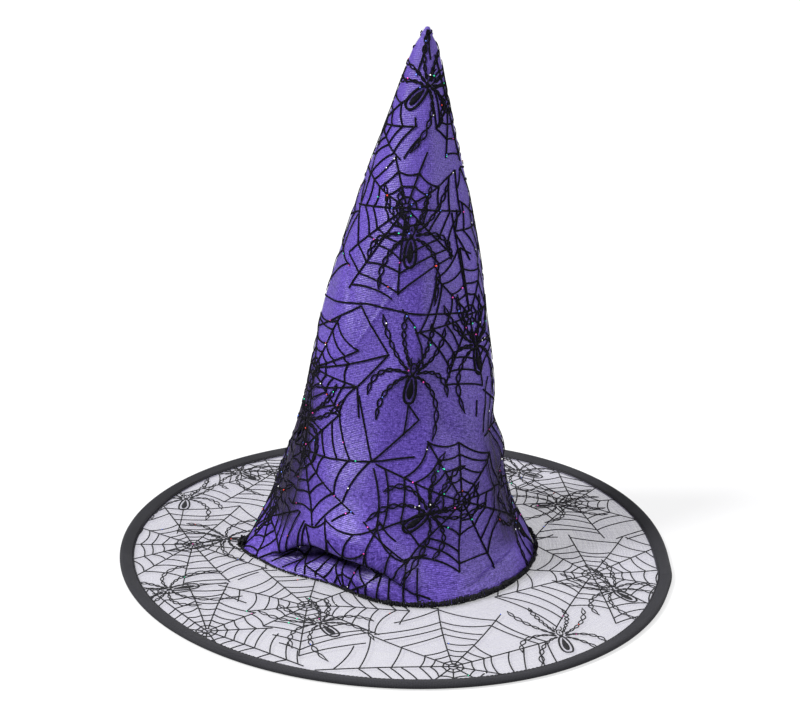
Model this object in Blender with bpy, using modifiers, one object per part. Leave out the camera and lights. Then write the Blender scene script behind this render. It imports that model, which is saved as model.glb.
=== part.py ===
"""Witch hat: a sheer, flocked organza overlay on a satin cone, sewn to a flat
sheer brim whose edge is bound over a sprung wire hoop.

Metres, +Z up.  The origin is on the floor, in the middle of the brim's extents.
+X is the hat's right, -Y its front, and the crown's seam is at the back.
The crown is cut into a lower shell, a band that bends and a tip, because the
real cloth bends there as one piece.
"""

import math

import bmesh
import bpy

# Overall sizes
BRIM_RADIUS = 0.188            # foot of the tape's round edge, where the hoop is round
CROWN_HEIGHT = 0.350           # floor to tip
FOOT_RADIUS = 0.0955           # crown where it is sewn to the brim

# Crown
FOOT_CENTRE = (-0.002, 0.003)
TIP_LEAN = 0.0133              # how far the tip stands to the right of the foot's middle
FOOT_FOLD_HEIGHT = 0.022       # the foot's dent and corner die out over this height
FLARE_HEIGHT = 0.032           # the crown flares out below this
OVERLAY_THICKNESS = 0.0003
LINING_THICKNESS = 0.0008
BEND_HEIGHT = 0.200            # hinge line of the crown
BEND_HALF_SPAN = 0.050         # cloth that bends, above and below the hinge line
SEAM_ALLOWANCE = 0.006         # width of the back seam, inside the crown
SEAM_THICKNESS = 0.0012
SEAM_SHARE = 0.45              # most of the crown's radius that the seam may take

# Brim
PANEL_THICKNESS = 0.0003
COLLAR_HEIGHT = 0.008          # the panel's inner edge, turned up inside the crown
WIRE_DIAMETER = 0.0012
FERRULE_WALL = 0.00025
FERRULE_LENGTH = 0.012
TAPE_WIDTH = 0.0095
TAPE_THICKNESS = 0.0004
STITCH_MARGIN = 0.0012         # stitch line to the tape's inner edge
NEAR_JOINT = (1.5, 3.0)        # points of the hoop close to its joint, degrees
PANEL_CATCH = 0.0052           # how far the panel's edge is caught inside the tape
HOOP_JOINT = -12.0             # azimuth of the hoop's joint, degrees

# Threads
THREAD_RADIUS = 0.0002
OVERLOCK_RADIUS = 0.0006       # visible overlock round the crown's foot
ALLOWANCE_OVERLOCK_RADIUS = 0.0005
LOCKSTITCH_HEIGHT = 0.005

# Clearances
GAP = 0.0003                   # between pieces that touch
FERRULE_CLEARANCE = 0.0003     # wire in its ferrule
CASING_CLEARANCE = 0.00045     # ferrule in the tape

# Divisions
CROWN_DIVISIONS = 40
BRIM_DIVISIONS = 72
EDGE_ARC_STEPS = 5

# Rings of the crown's tip, as shares of CROWN_HEIGHT
TIP_RINGS = (0.94, 0.98)

# Crown's radius as a share of FOOT_RADIUS, against the share of CROWN_HEIGHT
CROWN_PROFILE = (
    (0.00, 1.000), (0.05, 0.915), (0.10, 0.840), (0.20, 0.745), (0.30, 0.655),
    (0.40, 0.595), (0.50, 0.535), (0.60, 0.452), (0.70, 0.355), (0.80, 0.250),
    (0.90, 0.148), (0.965, 0.076), (1.00, 0.000),
)
APEX_DROP = 2.0                # an inner layer's apex drops by this many insets

# Worked out from the sizes above
WIRE_RADIUS = WIRE_DIAMETER / 2
FERRULE_BORE = WIRE_RADIUS + FERRULE_CLEARANCE
FERRULE_RADIUS = FERRULE_BORE + FERRULE_WALL
CASING_RADIUS = FERRULE_RADIUS + CASING_CLEARANCE
EDGE_RADIUS = CASING_RADIUS + TAPE_THICKNESS
PANEL_BOTTOM = TAPE_THICKNESS + GAP
PANEL_TOP = PANEL_BOTTOM + PANEL_THICKNESS
FOOT_HEIGHT = PANEL_TOP + GAP
LINING_INSET = OVERLAY_THICKNESS + GAP
LINING_INNER = LINING_INSET + LINING_THICKNESS
COLLAR_INSET = LINING_INNER + GAP
BEND_LOW = BEND_HEIGHT - BEND_HALF_SPAN
BEND_HIGH = BEND_HEIGHT + BEND_HALF_SPAN


def bump(azimuth, centre, width):
    """1 at the centre, fading to 0 over about twice the width, in degrees."""
    away = (azimuth - centre + 180.0) % 360.0 - 180.0
    return math.exp(-(away / width) ** 2)


def hoop_radius(azimuth):
    """The hoop is flattened at its joint and bulges on both sides of it."""
    flat = 0.032 * bump(azimuth, -2.0, 26.0)
    bulge = 0.020 * bump(azimuth, 52.0, 24.0) + 0.012 * bump(azimuth, -62.0, 24.0)
    corner = 0.006 * bump(azimuth, HOOP_JOINT, 5.0)
    return BRIM_RADIUS * (1.0 - flat + bulge + corner)


def around(count, start=0.0):
    """Azimuths of evenly spaced points, in degrees."""
    return [start + 360.0 * index / count for index in range(count)]


def polar(radius, azimuth):
    angle = math.radians(azimuth)
    return radius * math.cos(angle), radius * math.sin(angle)


def hoop_middle():
    """Middle of the brim's extents, measured from the hoop's own centre."""
    points = [polar(hoop_radius(a), a) for a in around(BRIM_DIVISIONS, HOOP_JOINT)]
    columns = list(zip(*points))
    return [(min(column) + max(column)) / 2 for column in columns]


HOOP_MIDDLE = hoop_middle()


def brim_point(azimuth, inset, height):
    """A point this far in from the brim's outer edge."""
    x, y = polar(hoop_radius(azimuth) - inset, azimuth)
    return x - HOOP_MIDDLE[0], y - HOOP_MIDDLE[1], height


def smooth_table(table, value):
    """Reads a table of (input, output) pairs with a smooth curve through them."""
    last = len(table) - 2
    index = 0
    while index < last and value > table[index + 1][0]:
        index += 1
    (x0, y0), (x1, y1) = table[index], table[index + 1]

    def slope(at):
        low, high = table[max(at - 1, 0)], table[min(at + 1, len(table) - 1)]
        return (high[1] - low[1]) / (high[0] - low[0])

    span = x1 - x0
    t = min(max((value - x0) / span, 0.0), 1.0)
    rise = t * t * (3 - 2 * t)
    leave = t * (1 - t) ** 2 * span * slope(index)
    arrive = t * t * (1 - t) * span * slope(index + 1)
    return y0 + (y1 - y0) * rise + leave - arrive


def crown_profile(height):
    return FOOT_RADIUS * smooth_table(CROWN_PROFILE, height / CROWN_HEIGHT)


def crown_centre(height):
    share = min(height / CROWN_HEIGHT, 1.0)
    return FOOT_CENTRE[0] + TIP_LEAN * share ** 1.5, FOOT_CENTRE[1]


def foot_shape(azimuth):
    """The foot is pushed in at the front left and has a corner at the left."""
    dent = 0.21 * bump(azimuth, -122.0, 28.0)
    corner = 0.075 * bump(azimuth, -172.0, 9.0)
    right = 0.02 * bump(azimuth, 10.0, 30.0)
    return 1.0 - dent + corner + right


def crown_point(azimuth, inset, height):
    """A point of the crown, this far inside its outer face."""
    step = 0.002
    slope = (crown_profile(height + step) - crown_profile(height - step)) / (2 * step)
    fade = math.exp(-(height / FOOT_FOLD_HEIGHT) ** 2)
    shape = 1.0 + fade * (foot_shape(azimuth) - 1.0)
    radius = crown_profile(height) * shape - inset * math.hypot(1.0, slope)
    x, y = polar(radius, azimuth)
    centre = crown_centre(height)
    return centre[0] + x, centre[1] + y, height


def crown_ring(inset, height):
    return [crown_point(a, inset, height) for a in around(CROWN_DIVISIONS)]


def levels(low, high, count):
    return [low + (high - low) * index / count for index in range(count + 1)]


# Scene helpers

def clear_scene():
    for thing in list(bpy.data.objects):
        bpy.data.objects.remove(thing, do_unlink=True)


def make_material(name, colour, roughness, metallic=0.0, alpha=1.0):
    material = bpy.data.materials.new(name)
    material.use_nodes = True
    shader = material.node_tree.nodes["Principled BSDF"]
    shader.inputs["Base Color"].default_value = (*colour, 1.0)
    shader.inputs["Roughness"].default_value = roughness
    shader.inputs["Metallic"].default_value = metallic
    shader.inputs["Alpha"].default_value = alpha
    return material


def add_object(name, data, material):
    thing = bpy.data.objects.new(name, data)
    hat_collection.objects.link(thing)
    data.materials.append(material)
    return thing


def add_mesh(name, shape, material):
    mesh = bpy.data.meshes.new(name)
    shape.to_mesh(mesh)
    shape.free()
    mesh.shade_smooth()
    mesh.set_sharp_from_angle(angle=math.radians(40))
    return add_object(name, mesh, material)


def skin(rings, start=None, end=None, closed=False):
    """Triangles between rings of equal count, facing outward where rings that run
    counter-clockwise climb.  It may start or end in a point.  Every diagonal rises
    with the azimuth, so the faces of nested layers stay parallel."""
    shape = bmesh.new()
    loops = [[shape.verts.new(point) for point in ring] for ring in rings]
    pairs = list(zip(loops, loops[1:]))
    if closed:
        pairs.append((loops[-1], loops[0]))
    for first, second in pairs:
        climbs = second[0].co.z > first[0].co.z
        for index in range(len(first)):
            after = (index + 1) % len(first)
            corners = (first[index], first[after], second[after], second[index])
            if not climbs:
                corners = corners[1:] + corners[:1]
            shape.faces.new((corners[0], corners[1], corners[2]))
            shape.faces.new((corners[0], corners[2], corners[3]))
    for loop, point in ((loops[0][::-1], start), (loops[-1], end)):
        if point is not None:
            tip = shape.verts.new(point)
            for index, corner in enumerate(loop):
                shape.faces.new((corner, loop[(index + 1) % len(loop)], tip))
    return shape


def thicken(thing, thickness):
    """Cloth of this thickness behind the surface."""
    solidify = thing.modifiers.new("cloth", "SOLIDIFY")
    solidify.thickness = thickness
    solidify.offset = -1.0
    solidify.use_even_offset = True


def thread(name, points, radius, material, cyclic=True, roundness=0):
    """A thread or a wire along the points."""
    curve = bpy.data.curves.new(name, "CURVE")
    curve.dimensions = "3D"
    curve.bevel_depth = radius
    curve.bevel_resolution = roundness
    curve.use_fill_caps = True
    spline = curve.splines.new("POLY")
    spline.points.add(len(points) - 1)
    for point, place in zip(spline.points, points):
        point.co = (*place, 1.0)
    spline.use_cyclic_u = cyclic
    return add_object(name, curve, material)


# Crown

def crown_apex(inset):
    return (*crown_centre(CROWN_HEIGHT), CROWN_HEIGHT - APEX_DROP * inset)


def crown_shell(name, heights, inset, thickness, material, pointed=False):
    """A stretch of one layer: down its inner face and up its outer face."""
    inner = [crown_ring(inset + thickness, height) for height in reversed(heights)]
    outer = [crown_ring(inset, height) for height in heights]
    if pointed:
        shape = skin(inner + outer, crown_apex(inset + thickness), crown_apex(inset))
    else:
        shape = skin(inner + outer, closed=True)
    return add_mesh(name, shape, material)


def back_seam(name, heights, material):
    """The two layers' joined edges, turned inward along the back."""
    rings = []
    half = SEAM_THICKNESS / 2
    for height in heights:
        x, outer, _ = crown_point(90.0, COLLAR_INSET, height)
        reach = min(SEAM_ALLOWANCE, SEAM_SHARE * crown_profile(height))
        inner = outer - reach
        rings.append([(x - half, inner, height), (x + half, inner, height),
                      (x + half, outer, height), (x - half, outer, height)])
    shape = skin(rings)
    bmesh.ops.holes_fill(shape, edges=[edge for edge in shape.edges if edge.is_boundary])
    bmesh.ops.recalc_face_normals(shape, faces=shape.faces[:])
    return add_mesh(name, shape, material)


def build_crown(satin, organza, seam_cloth):
    foot = [FOOT_HEIGHT, *levels(COLLAR_HEIGHT, FLARE_HEIGHT, 2)]
    foot += levels(FLARE_HEIGHT, BEND_LOW, 4)[1:]
    band = levels(BEND_LOW + GAP, BEND_HIGH - GAP, 4)
    tip = levels(BEND_HIGH, TIP_RINGS[0] * CROWN_HEIGHT, 3)
    tip.append(TIP_RINGS[1] * CROWN_HEIGHT)
    layers = (("crown_overlay", 0.0, OVERLAY_THICKNESS, organza),
              ("crown_lining", LINING_INSET, LINING_THICKNESS, satin))
    for name, inset, thickness, material in layers:
        crown_shell(name + "_lower", foot, inset, thickness, material)
        crown_shell(name + "_bend", band, inset, thickness, material)
        crown_shell(name + "_tip", tip, inset, thickness, material, pointed=True)
    seam_foot = allowance_top() + GAP
    back_seam("back_seam_lower", [seam_foot] + [h for h in foot if h > seam_foot], seam_cloth)
    back_seam("back_seam_bend", band, seam_cloth)
    back_seam("back_seam_tip", tip[:-1], seam_cloth)


# Foot seam

def allowance_top():
    return COLLAR_HEIGHT + GAP + 2 * ALLOWANCE_OVERLOCK_RADIUS


def build_foot_seam(black_thread):
    thread("foot_overlock", crown_ring(-GAP - OVERLOCK_RADIUS, PANEL_TOP + GAP + OVERLOCK_RADIUS),
           OVERLOCK_RADIUS, black_thread)
    stitch_inset = COLLAR_INSET + PANEL_THICKNESS + GAP + THREAD_RADIUS
    thread("foot_lockstitch", crown_ring(stitch_inset, LOCKSTITCH_HEIGHT),
           THREAD_RADIUS, black_thread)
    overlock_inset = COLLAR_INSET + ALLOWANCE_OVERLOCK_RADIUS
    overlock_height = COLLAR_HEIGHT + GAP + ALLOWANCE_OVERLOCK_RADIUS
    thread("allowance_overlock", crown_ring(overlock_inset, overlock_height),
           ALLOWANCE_OVERLOCK_RADIUS, black_thread)


# Brim

def build_brim_panel(organza):
    azimuths = around(CROWN_DIVISIONS)
    edge = [brim_point(a, TAPE_WIDTH - PANEL_CATCH, PANEL_TOP) for a in azimuths]
    foot = [crown_point(a, COLLAR_INSET, FOOT_HEIGHT)[:2] + (PANEL_TOP,) for a in azimuths]
    middle = [tuple((p + q) / 2 for p, q in zip(*pair)) for pair in zip(edge, foot)]
    collar = crown_ring(COLLAR_INSET, COLLAR_HEIGHT)
    panel = add_mesh("brim_panel", skin([edge, middle, foot, collar]), organza)
    thicken(panel, PANEL_THICKNESS)


def build_hoop(steel, ferrule_metal):
    centre_inset = EDGE_RADIUS
    height = EDGE_RADIUS
    near_joint = (math.degrees(GAP / BRIM_RADIUS), *NEAR_JOINT)
    offsets = [*near_joint, *around(BRIM_DIVISIONS)[1:]]
    offsets += [360.0 - offset for offset in reversed(near_joint)]
    points = [brim_point(HOOP_JOINT + offset, centre_inset, height) for offset in offsets]
    thread("brim_hoop", points, WIRE_RADIUS, steel, cyclic=False, roundness=1)

    bpy.ops.mesh.primitive_cylinder_add(vertices=16, radius=FERRULE_RADIUS,
                                        depth=FERRULE_LENGTH, end_fill_type="NOTHING")
    ferrule = bpy.context.object
    ferrule.name = "hoop_ferrule"
    ferrule.data.name = "hoop_ferrule"
    for collection in list(ferrule.users_collection):
        collection.objects.unlink(ferrule)
    hat_collection.objects.link(ferrule)
    ferrule.data.materials.append(ferrule_metal)
    thicken(ferrule, FERRULE_WALL)
    before = brim_point(HOOP_JOINT - NEAR_JOINT[0], centre_inset, height)
    after = brim_point(HOOP_JOINT + NEAR_JOINT[0], centre_inset, height)
    here = brim_point(HOOP_JOINT, centre_inset, height)
    ferrule.location = [(b + 2 * h + a) / 4 for b, h, a in zip(before, here, after)]
    heading = math.atan2(after[1] - before[1], after[0] - before[0])
    ferrule.rotation_euler = (0.0, math.radians(90), heading)


def tape_section():
    """The folded tape in section: (distance in from the edge, height).
    A flat lower leg, a round edge over the wire and a sloping upper leg."""
    def arc(radius):
        angles = [math.pi * (-0.5 - index / EDGE_ARC_STEPS) for index in range(EDGE_ARC_STEPS + 1)]
        return [(EDGE_RADIUS + radius * math.cos(a), EDGE_RADIUS + radius * math.sin(a))
                for a in angles]
    mouth_top = FOOT_HEIGHT
    outside = [(TAPE_WIDTH, 0.0), *arc(EDGE_RADIUS), (TAPE_WIDTH, mouth_top + TAPE_THICKNESS)]
    inside = [(TAPE_WIDTH, TAPE_THICKNESS), *arc(CASING_RADIUS), (TAPE_WIDTH, mouth_top)]
    return outside + inside[::-1]


def upper_leg_height(inset):
    """Height of the tape's upper face, this far in from the edge."""
    start, end = 2 * EDGE_RADIUS, FOOT_HEIGHT + TAPE_THICKNESS
    share = (inset - EDGE_RADIUS) / (TAPE_WIDTH - EDGE_RADIUS)
    return start + (end - start) * share


def build_binding(tape, black_thread):
    azimuths = around(BRIM_DIVISIONS, HOOP_JOINT)
    section = tape_section()
    rings = [[brim_point(a, inset, height) for a in azimuths] for inset, height in section]
    shape = skin(rings, closed=True)
    bmesh.ops.recalc_face_normals(shape, faces=shape.faces[:])
    add_mesh("brim_binding", shape, tape)
    stitch_inset = TAPE_WIDTH - STITCH_MARGIN
    stitch_height = upper_leg_height(stitch_inset) + GAP + THREAD_RADIUS
    stitch = [brim_point(a, stitch_inset, stitch_height) for a in azimuths]
    thread("binding_topstitch", stitch, THREAD_RADIUS, black_thread)


# The hat

clear_scene()
hat_collection = bpy.data.collections.new("witch_hat")
bpy.context.scene.collection.children.link(hat_collection)

satin = make_material("purple_satin", (0.075, 0.038, 0.265), 0.42)
crown_organza = make_material("crown_organza", (0.030, 0.022, 0.050), 0.55, alpha=0.35)
brim_organza = make_material("brim_organza", (0.60, 0.59, 0.64), 0.60, alpha=0.35)
tape = make_material("binding_tape", (0.050, 0.050, 0.056), 0.75)
steel = make_material("hoop_steel", (0.45, 0.45, 0.45), 0.30, metallic=1.0)
ferrule_metal = make_material("ferrule_zinc", (0.60, 0.60, 0.58), 0.40, metallic=1.0)
black_thread = make_material("black_thread", (0.012, 0.012, 0.014), 0.80)
seam_cloth = make_material("seam_cloth", (0.050, 0.028, 0.160), 0.60)

build_brim_panel(brim_organza)
build_hoop(steel, ferrule_metal)
build_binding(tape, black_thread)
build_foot_seam(black_thread)
build_crown(satin, crown_organza, seam_cloth)
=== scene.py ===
"""Looks of the witch hat: ribbed satin under sheer organza, a flocked print of
webs and spiders with glitter, overlocked seams and a wired, taped brim."""

import math
from collections import namedtuple

import bpy
import numpy as np
from mathutils import Matrix, Vector


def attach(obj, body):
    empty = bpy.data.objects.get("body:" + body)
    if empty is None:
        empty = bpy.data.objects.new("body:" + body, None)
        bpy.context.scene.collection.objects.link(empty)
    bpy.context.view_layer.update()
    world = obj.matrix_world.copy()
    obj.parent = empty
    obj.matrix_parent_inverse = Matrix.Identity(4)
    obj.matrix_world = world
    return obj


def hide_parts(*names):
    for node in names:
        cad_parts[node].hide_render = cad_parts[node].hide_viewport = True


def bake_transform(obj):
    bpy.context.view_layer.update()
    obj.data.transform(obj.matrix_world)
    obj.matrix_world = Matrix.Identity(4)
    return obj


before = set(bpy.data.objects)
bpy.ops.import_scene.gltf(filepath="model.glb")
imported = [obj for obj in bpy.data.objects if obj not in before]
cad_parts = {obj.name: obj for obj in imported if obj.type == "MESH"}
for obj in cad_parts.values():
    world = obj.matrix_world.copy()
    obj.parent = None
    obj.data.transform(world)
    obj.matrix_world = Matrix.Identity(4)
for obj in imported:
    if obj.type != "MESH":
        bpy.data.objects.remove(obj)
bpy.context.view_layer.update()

# Sizes shared with the CAD model, in metres
BRIM_RADIUS = 0.188
CROWN_HEIGHT = 0.350
FOOT_RADIUS = 0.0955
FOOT_CENTRE = (-0.002, 0.003)
TIP_LEAN = 0.0133
HOOP_JOINT = -12.0
TAPE_WIDTH = 0.0095
TAPE_THICKNESS = 0.0004
EDGE_RADIUS = 0.0020
CASING_RADIUS = 0.0016
PANEL_CATCH = 0.0052
PANEL_TOP = 0.0010
FOOT_HEIGHT = 0.0013
COLLAR_HEIGHT = 0.008
COLLAR_INSET = 0.0017
CROWN_PROFILE = (
    (0.00, 1.000), (0.05, 0.915), (0.10, 0.840), (0.20, 0.745), (0.30, 0.655),
    (0.40, 0.595), (0.50, 0.535), (0.60, 0.452), (0.70, 0.355), (0.80, 0.250),
    (0.90, 0.148), (0.965, 0.076), (1.00, 0.000),
)

# Cloth
SATIN_THICKNESS = 0.0004
VEIL_LIFT = 0.0005             # organza's face above the satin's
VEIL_THICKNESS = 0.00012
FLOCK_THICKNESS = 0.00028
SLANT = 0.96                   # height gained for each metre up the cloth

# The camera, and how it sees the hat
CAMERA_DISTANCE = 1.1
CAMERA_ELEVATION = math.radians(25.35)
CAMERA_ROLL = math.radians(1.54)
CAMERA_TARGET = Vector((-0.0003, 0.0045, 0.1376))
CAMERA_CENTRE = Vector((0.0043, 0.0045, 0.0020))
CAMERA_LENS = 71.87


# ---------------------------------------------------------------- shape

def wrapped(azimuth, centre):
    """Degrees from centre round to azimuth, -180 to 180."""
    return (azimuth - centre + 180.0) % 360.0 - 180.0


def hill(value, centre, width):
    """1 at the centre, falling off smoothly on both sides."""
    return np.exp(-((value - centre) / width) ** 2)


def bump(azimuth, centre, width):
    """A hill round the hat."""
    return hill(wrapped(azimuth, centre), 0.0, width)


def round_steps(count):
    """Azimuths of this many even steps round the hat."""
    return np.arange(count) * 360.0 / count


def polar(radius, azimuth):
    angle = np.radians(azimuth)
    return radius * np.cos(angle), radius * np.sin(angle)


def smooth_step(low, high, value):
    t = np.clip((value - low) / (high - low), 0.0, 1.0)
    return t * t * (3 - 2 * t)


def stacked(x, y, z):
    return np.stack(np.broadcast_arrays(x, y, z), axis=-1)


def hoop_radius(azimuth):
    """The brim's outline: a circle that the sprung wire bends a little."""
    flat = 0.032 * bump(azimuth, -2.0, 26.0)
    bulge = 0.020 * bump(azimuth, 52.0, 24.0) + 0.012 * bump(azimuth, -62.0, 24.0)
    corner = 0.006 * bump(azimuth, HOOP_JOINT, 5.0)
    return BRIM_RADIUS * (1.0 - flat + bulge + corner)


def hoop_middle():
    """Middle of the brim's extents, measured from the hoop's own centre."""
    azimuth = HOOP_JOINT + np.arange(0.0, 360.0, 5.0)
    x, y = polar(hoop_radius(azimuth), azimuth)
    return (x.min() + x.max()) / 2, (y.min() + y.max()) / 2


HOOP_MIDDLE = hoop_middle()


def brim_point(azimuth, inset, height):
    """Points this far in from the brim's outer edge."""
    x, y = polar(hoop_radius(azimuth) - inset, azimuth)
    return stacked(x - HOOP_MIDDLE[0], y - HOOP_MIDDLE[1], height)


PROFILE_SAMPLES = 1401


def profile_table():
    """The crown's profile as a dense table, smooth through the listed points."""
    share, radius = (np.array(column) for column in zip(*CROWN_PROFILE))
    slope = np.empty_like(share)
    slope[1:-1] = (radius[2:] - radius[:-2]) / (share[2:] - share[:-2])
    slope[0] = (radius[1] - radius[0]) / (share[1] - share[0])
    slope[-1] = (radius[-1] - radius[-2]) / (share[-1] - share[-2])
    at = np.linspace(0.0, 1.0, PROFILE_SAMPLES)
    index = np.clip(np.searchsorted(share, at, side="right") - 1, 0, len(share) - 2)
    span = share[index + 1] - share[index]
    t = (at - share[index]) / span
    rise = t * t * (3 - 2 * t)
    leave = t * (1 - t) ** 2 * span * slope[index]
    arrive = t * t * (1 - t) * span * slope[index + 1]
    value = radius[index] + (radius[index + 1] - radius[index]) * rise + leave - arrive
    return at * CROWN_HEIGHT, value * FOOT_RADIUS


PROFILE_HEIGHT, PROFILE_RADIUS = profile_table()
TIP_ROUNDING = 0.0042          # radius of the pinched point


def crown_profile(height):
    """The crown's radius: the profile, closed by a round cap at the tip."""
    radius = np.interp(height, PROFILE_HEIGHT, PROFILE_RADIUS)
    below = np.clip(CROWN_HEIGHT - height, 0.0, None)
    cap = np.sqrt(np.clip(2 * TIP_ROUNDING * below - below ** 2, 0.0, None))
    near_tip = below < TIP_ROUNDING
    return np.where(near_tip, np.minimum(radius + 0.001, cap), radius)


def crown_centre(height):
    """The crown's axis, which leans to the right towards the tip."""
    share = np.clip(height / CROWN_HEIGHT, 0.0, 1.0)
    return FOOT_CENTRE[0] + TIP_LEAN * share ** 1.5, FOOT_CENTRE[1]


FOLD_HEIGHT = 0.031            # where the cloth turns under, at the fold's middle
FOLD_DROOP = 0.0075            # how far the cloth above hangs down over it
FOLD_TURN = 0.0009             # how sharply it turns
FOLD_AZIMUTH = -117.0
FOLD_WIDTH = 35.0              # degrees from its middle to each end


def fold_share(azimuth):
    """1 along the fold at the foot's front left, down to 0 past its two ends."""
    return np.exp(-(wrapped(azimuth, FOLD_AZIMUTH) / FOLD_WIDTH) ** 4)


def foot_shape(azimuth, height):
    """The foot is pushed in under a fold at the front left, has a corner at the
    left and a fuller right side."""
    above = height - FOLD_HEIGHT * fold_share(azimuth)
    shelf = 1.0 / (1.0 + np.exp(above / FOLD_TURN))
    soft = hill(height, 0.0, 0.040)
    swell = hill(above, 0.008, 0.009)
    trough = hill(above, 0.028, 0.010)
    tuck = np.exp(-((above + 0.0085) / 0.0085) ** 4) * (1.0 - hill(height, 0.0, 0.007))
    dent = bump(azimuth, -122.0, 28.0) * (0.165 * shelf + 0.045 * soft)
    dent = dent + 0.130 * bump(azimuth, -126.0, 30.0) * tuck
    dent = dent + bump(azimuth, -104.0, 34.0) * (0.020 * trough - 0.040 * swell)
    low = hill(height, 0.0, 0.022)
    corner = 0.075 * bump(azimuth, -172.0, 9.0) * low
    right = 0.02 * bump(azimuth, 10.0, 30.0) * low
    return 1.0 - dent + corner + right


def fold_droop(azimuth, height):
    """How far the cloth above the fold hangs down over the foot."""
    share = fold_share(azimuth)
    above = height - FOLD_HEIGHT * share
    return FOLD_DROOP * share * hill(above, 2 * FOLD_TURN, 3 * FOLD_TURN)


# Creases of the satin: azimuth and height of both ends, ridge height, width
CREASES = (
    (-96.0, 0.201, -134.0, 0.143, 0.0006, 0.0011),
    (-150.0, 0.212, -128.0, 0.168, -0.0007, 0.0030),
    (-60.0, 0.007, -20.0, 0.019, -0.0011, 0.0018),
    (-35.0, 0.150, -22.0, 0.095, 0.0010, 0.0040),
    (-74.0, 0.118, -40.0, 0.085, -0.0008, 0.0060),
    (-168.0, 0.120, -150.0, 0.045, -0.0016, 0.0050),
    (-18.0, 0.105, -14.0, 0.030, -0.0014, 0.0050),
    (-120.0, 0.060, -92.0, 0.034, 0.0009, 0.0055),
    (-104.0, 0.262, -70.0, 0.240, -0.0005, 0.0030),
    (30.0, 0.030, 66.0, 0.120, -0.0014, 0.0060),
    (112.0, 0.150, 150.0, 0.050, -0.0013, 0.0060),
    (150.0, 0.190, 120.0, 0.235, 0.0008, 0.0040),
    (20.0, 0.205, 58.0, 0.160, 0.0009, 0.0040),
    (78.0, 0.060, 70.0, 0.020, -0.0012, 0.0050),
    (104.0, 0.052, 118.0, 0.018, -0.0012, 0.0050),
    (168.0, 0.070, 160.0, 0.020, 0.0014, 0.0060),
)
SEAM_AZIMUTH = 90.0


def crease_relief(azimuth, height):
    """Ridges and grooves of the listed creases, in metres."""
    radius = np.maximum(crown_profile(height), 0.004)
    total = np.zeros(np.broadcast(azimuth, height).shape)
    for azimuth_a, height_a, azimuth_b, height_b, ridge, width in CREASES:
        x = np.radians(wrapped(azimuth, azimuth_a)) * radius
        y = (height - height_a) / SLANT
        end_x = math.radians(wrapped(azimuth_b, azimuth_a)) * radius
        end_y = (height_b - height_a) / SLANT
        along = np.clip((x * end_x + y * end_y) / (end_x ** 2 + end_y ** 2), 0.0, 1.0)
        away = np.hypot(x - along * end_x, y - along * end_y)
        fade = np.sin(np.pi * np.clip(along, 0.04, 0.96)) ** 0.6
        total += ridge * fade * hill(away, 0.0, width)
    return total


WAVE_SEED = 21
BROAD_WAVE = 0.0014            # height of the waves with few lobes
NARROW_WAVE = 0.0008


def waves(azimuth, height):
    """Slow unevenness of standing cloth, stronger towards the foot."""
    rng = np.random.default_rng(WAVE_SEED)
    total = np.zeros(np.broadcast(azimuth, height).shape)
    for lobes in (2, 3, 4, 5, 7, 9, 11):
        phase, twist, drift = rng.uniform(0, 2 * math.pi, 3)
        size = BROAD_WAVE if lobes < 6 else NARROW_WAVE
        tilt = 12.0 * math.sin(twist)
        turn = np.radians(azimuth) * lobes + phase + tilt * height / CROWN_HEIGHT
        swell = 0.65 + 0.35 * np.sin(height * (18 + 4 * lobes) + drift)
        total += size * np.sin(turn) * swell
    foot = 1.0 + 0.9 * hill(height, 0.0, 0.05)
    narrow = crown_profile(height) / FOOT_RADIUS
    return total * foot * narrow * smooth_step(0.0, 0.012, height)


def side_kink(azimuth, height):
    """The right side is pinched above a small bulge. A share of the radius."""
    bulge = 0.030 * hill(height, 0.078, 0.010)
    pinch = 0.040 * hill(height, 0.099, 0.011)
    return bump(azimuth, -6.0, 20.0) * (bulge - pinch)


FACET_DEPTH = 0.046            # of the flattened sides, as a share of the radius


def facet_relief(azimuth, height):
    """Two flattened sides meet in a soft edge down the front, which wanders to
    the left below the middle. A share of the radius."""
    edge = -100.0 + 22.0 * smooth_step(0.12, 0.17, height)
    away = np.abs(wrapped(azimuth, edge))
    wave = np.abs(np.sin(np.radians(3.0 * away)))
    wave = np.where(away < 30.0, np.sqrt(wave ** 2 + 0.01) - 0.1, wave ** 2 * 0.905)
    held = smooth_step(0.055, 0.11, height) * smooth_step(0.345, 0.32, height)
    return -FACET_DEPTH * held * np.where(away < 60.0, wave, 0.0)


PUCKER_PITCH = 0.0105


def seam_relief(azimuth, height):
    """The back seam is drawn in, and the cloth beside it puckers."""
    across = np.radians(wrapped(azimuth, SEAM_AZIMUTH)) * crown_profile(height)
    groove = -0.0012 * hill(across, 0.0, 0.0016)
    pucker = 0.00045 * np.sin(2 * math.pi * height / PUCKER_PITCH + 40.0 * np.abs(across))
    beside = hill(np.abs(across), 0.005, 0.0045)
    return groove + pucker * beside * smooth_step(0.34, 0.30, height)


# Gathers of the loose organza, at the left, right and back: share, azimuth and
# width, the heights between which it starts, and those between which it ends
GATHERS = (
    (1.00, -163.0, 15.0, 0.022, 0.040, 0.150, 0.085),
    (0.55, -22.0, 15.0, 0.016, 0.030, 0.115, 0.070),
    (0.60, 60.0, 24.0, 0.020, 0.050, 0.150, 0.080),
)


def veil_gathers(azimuth, height):
    """Where the loose organza is gathered, from 0 to 1."""
    return sum(share * bump(azimuth, middle, width)
               * smooth_step(start, full, height) * smooth_step(end, fading, height)
               for share, middle, width, start, full, end, fading in GATHERS)


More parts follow.
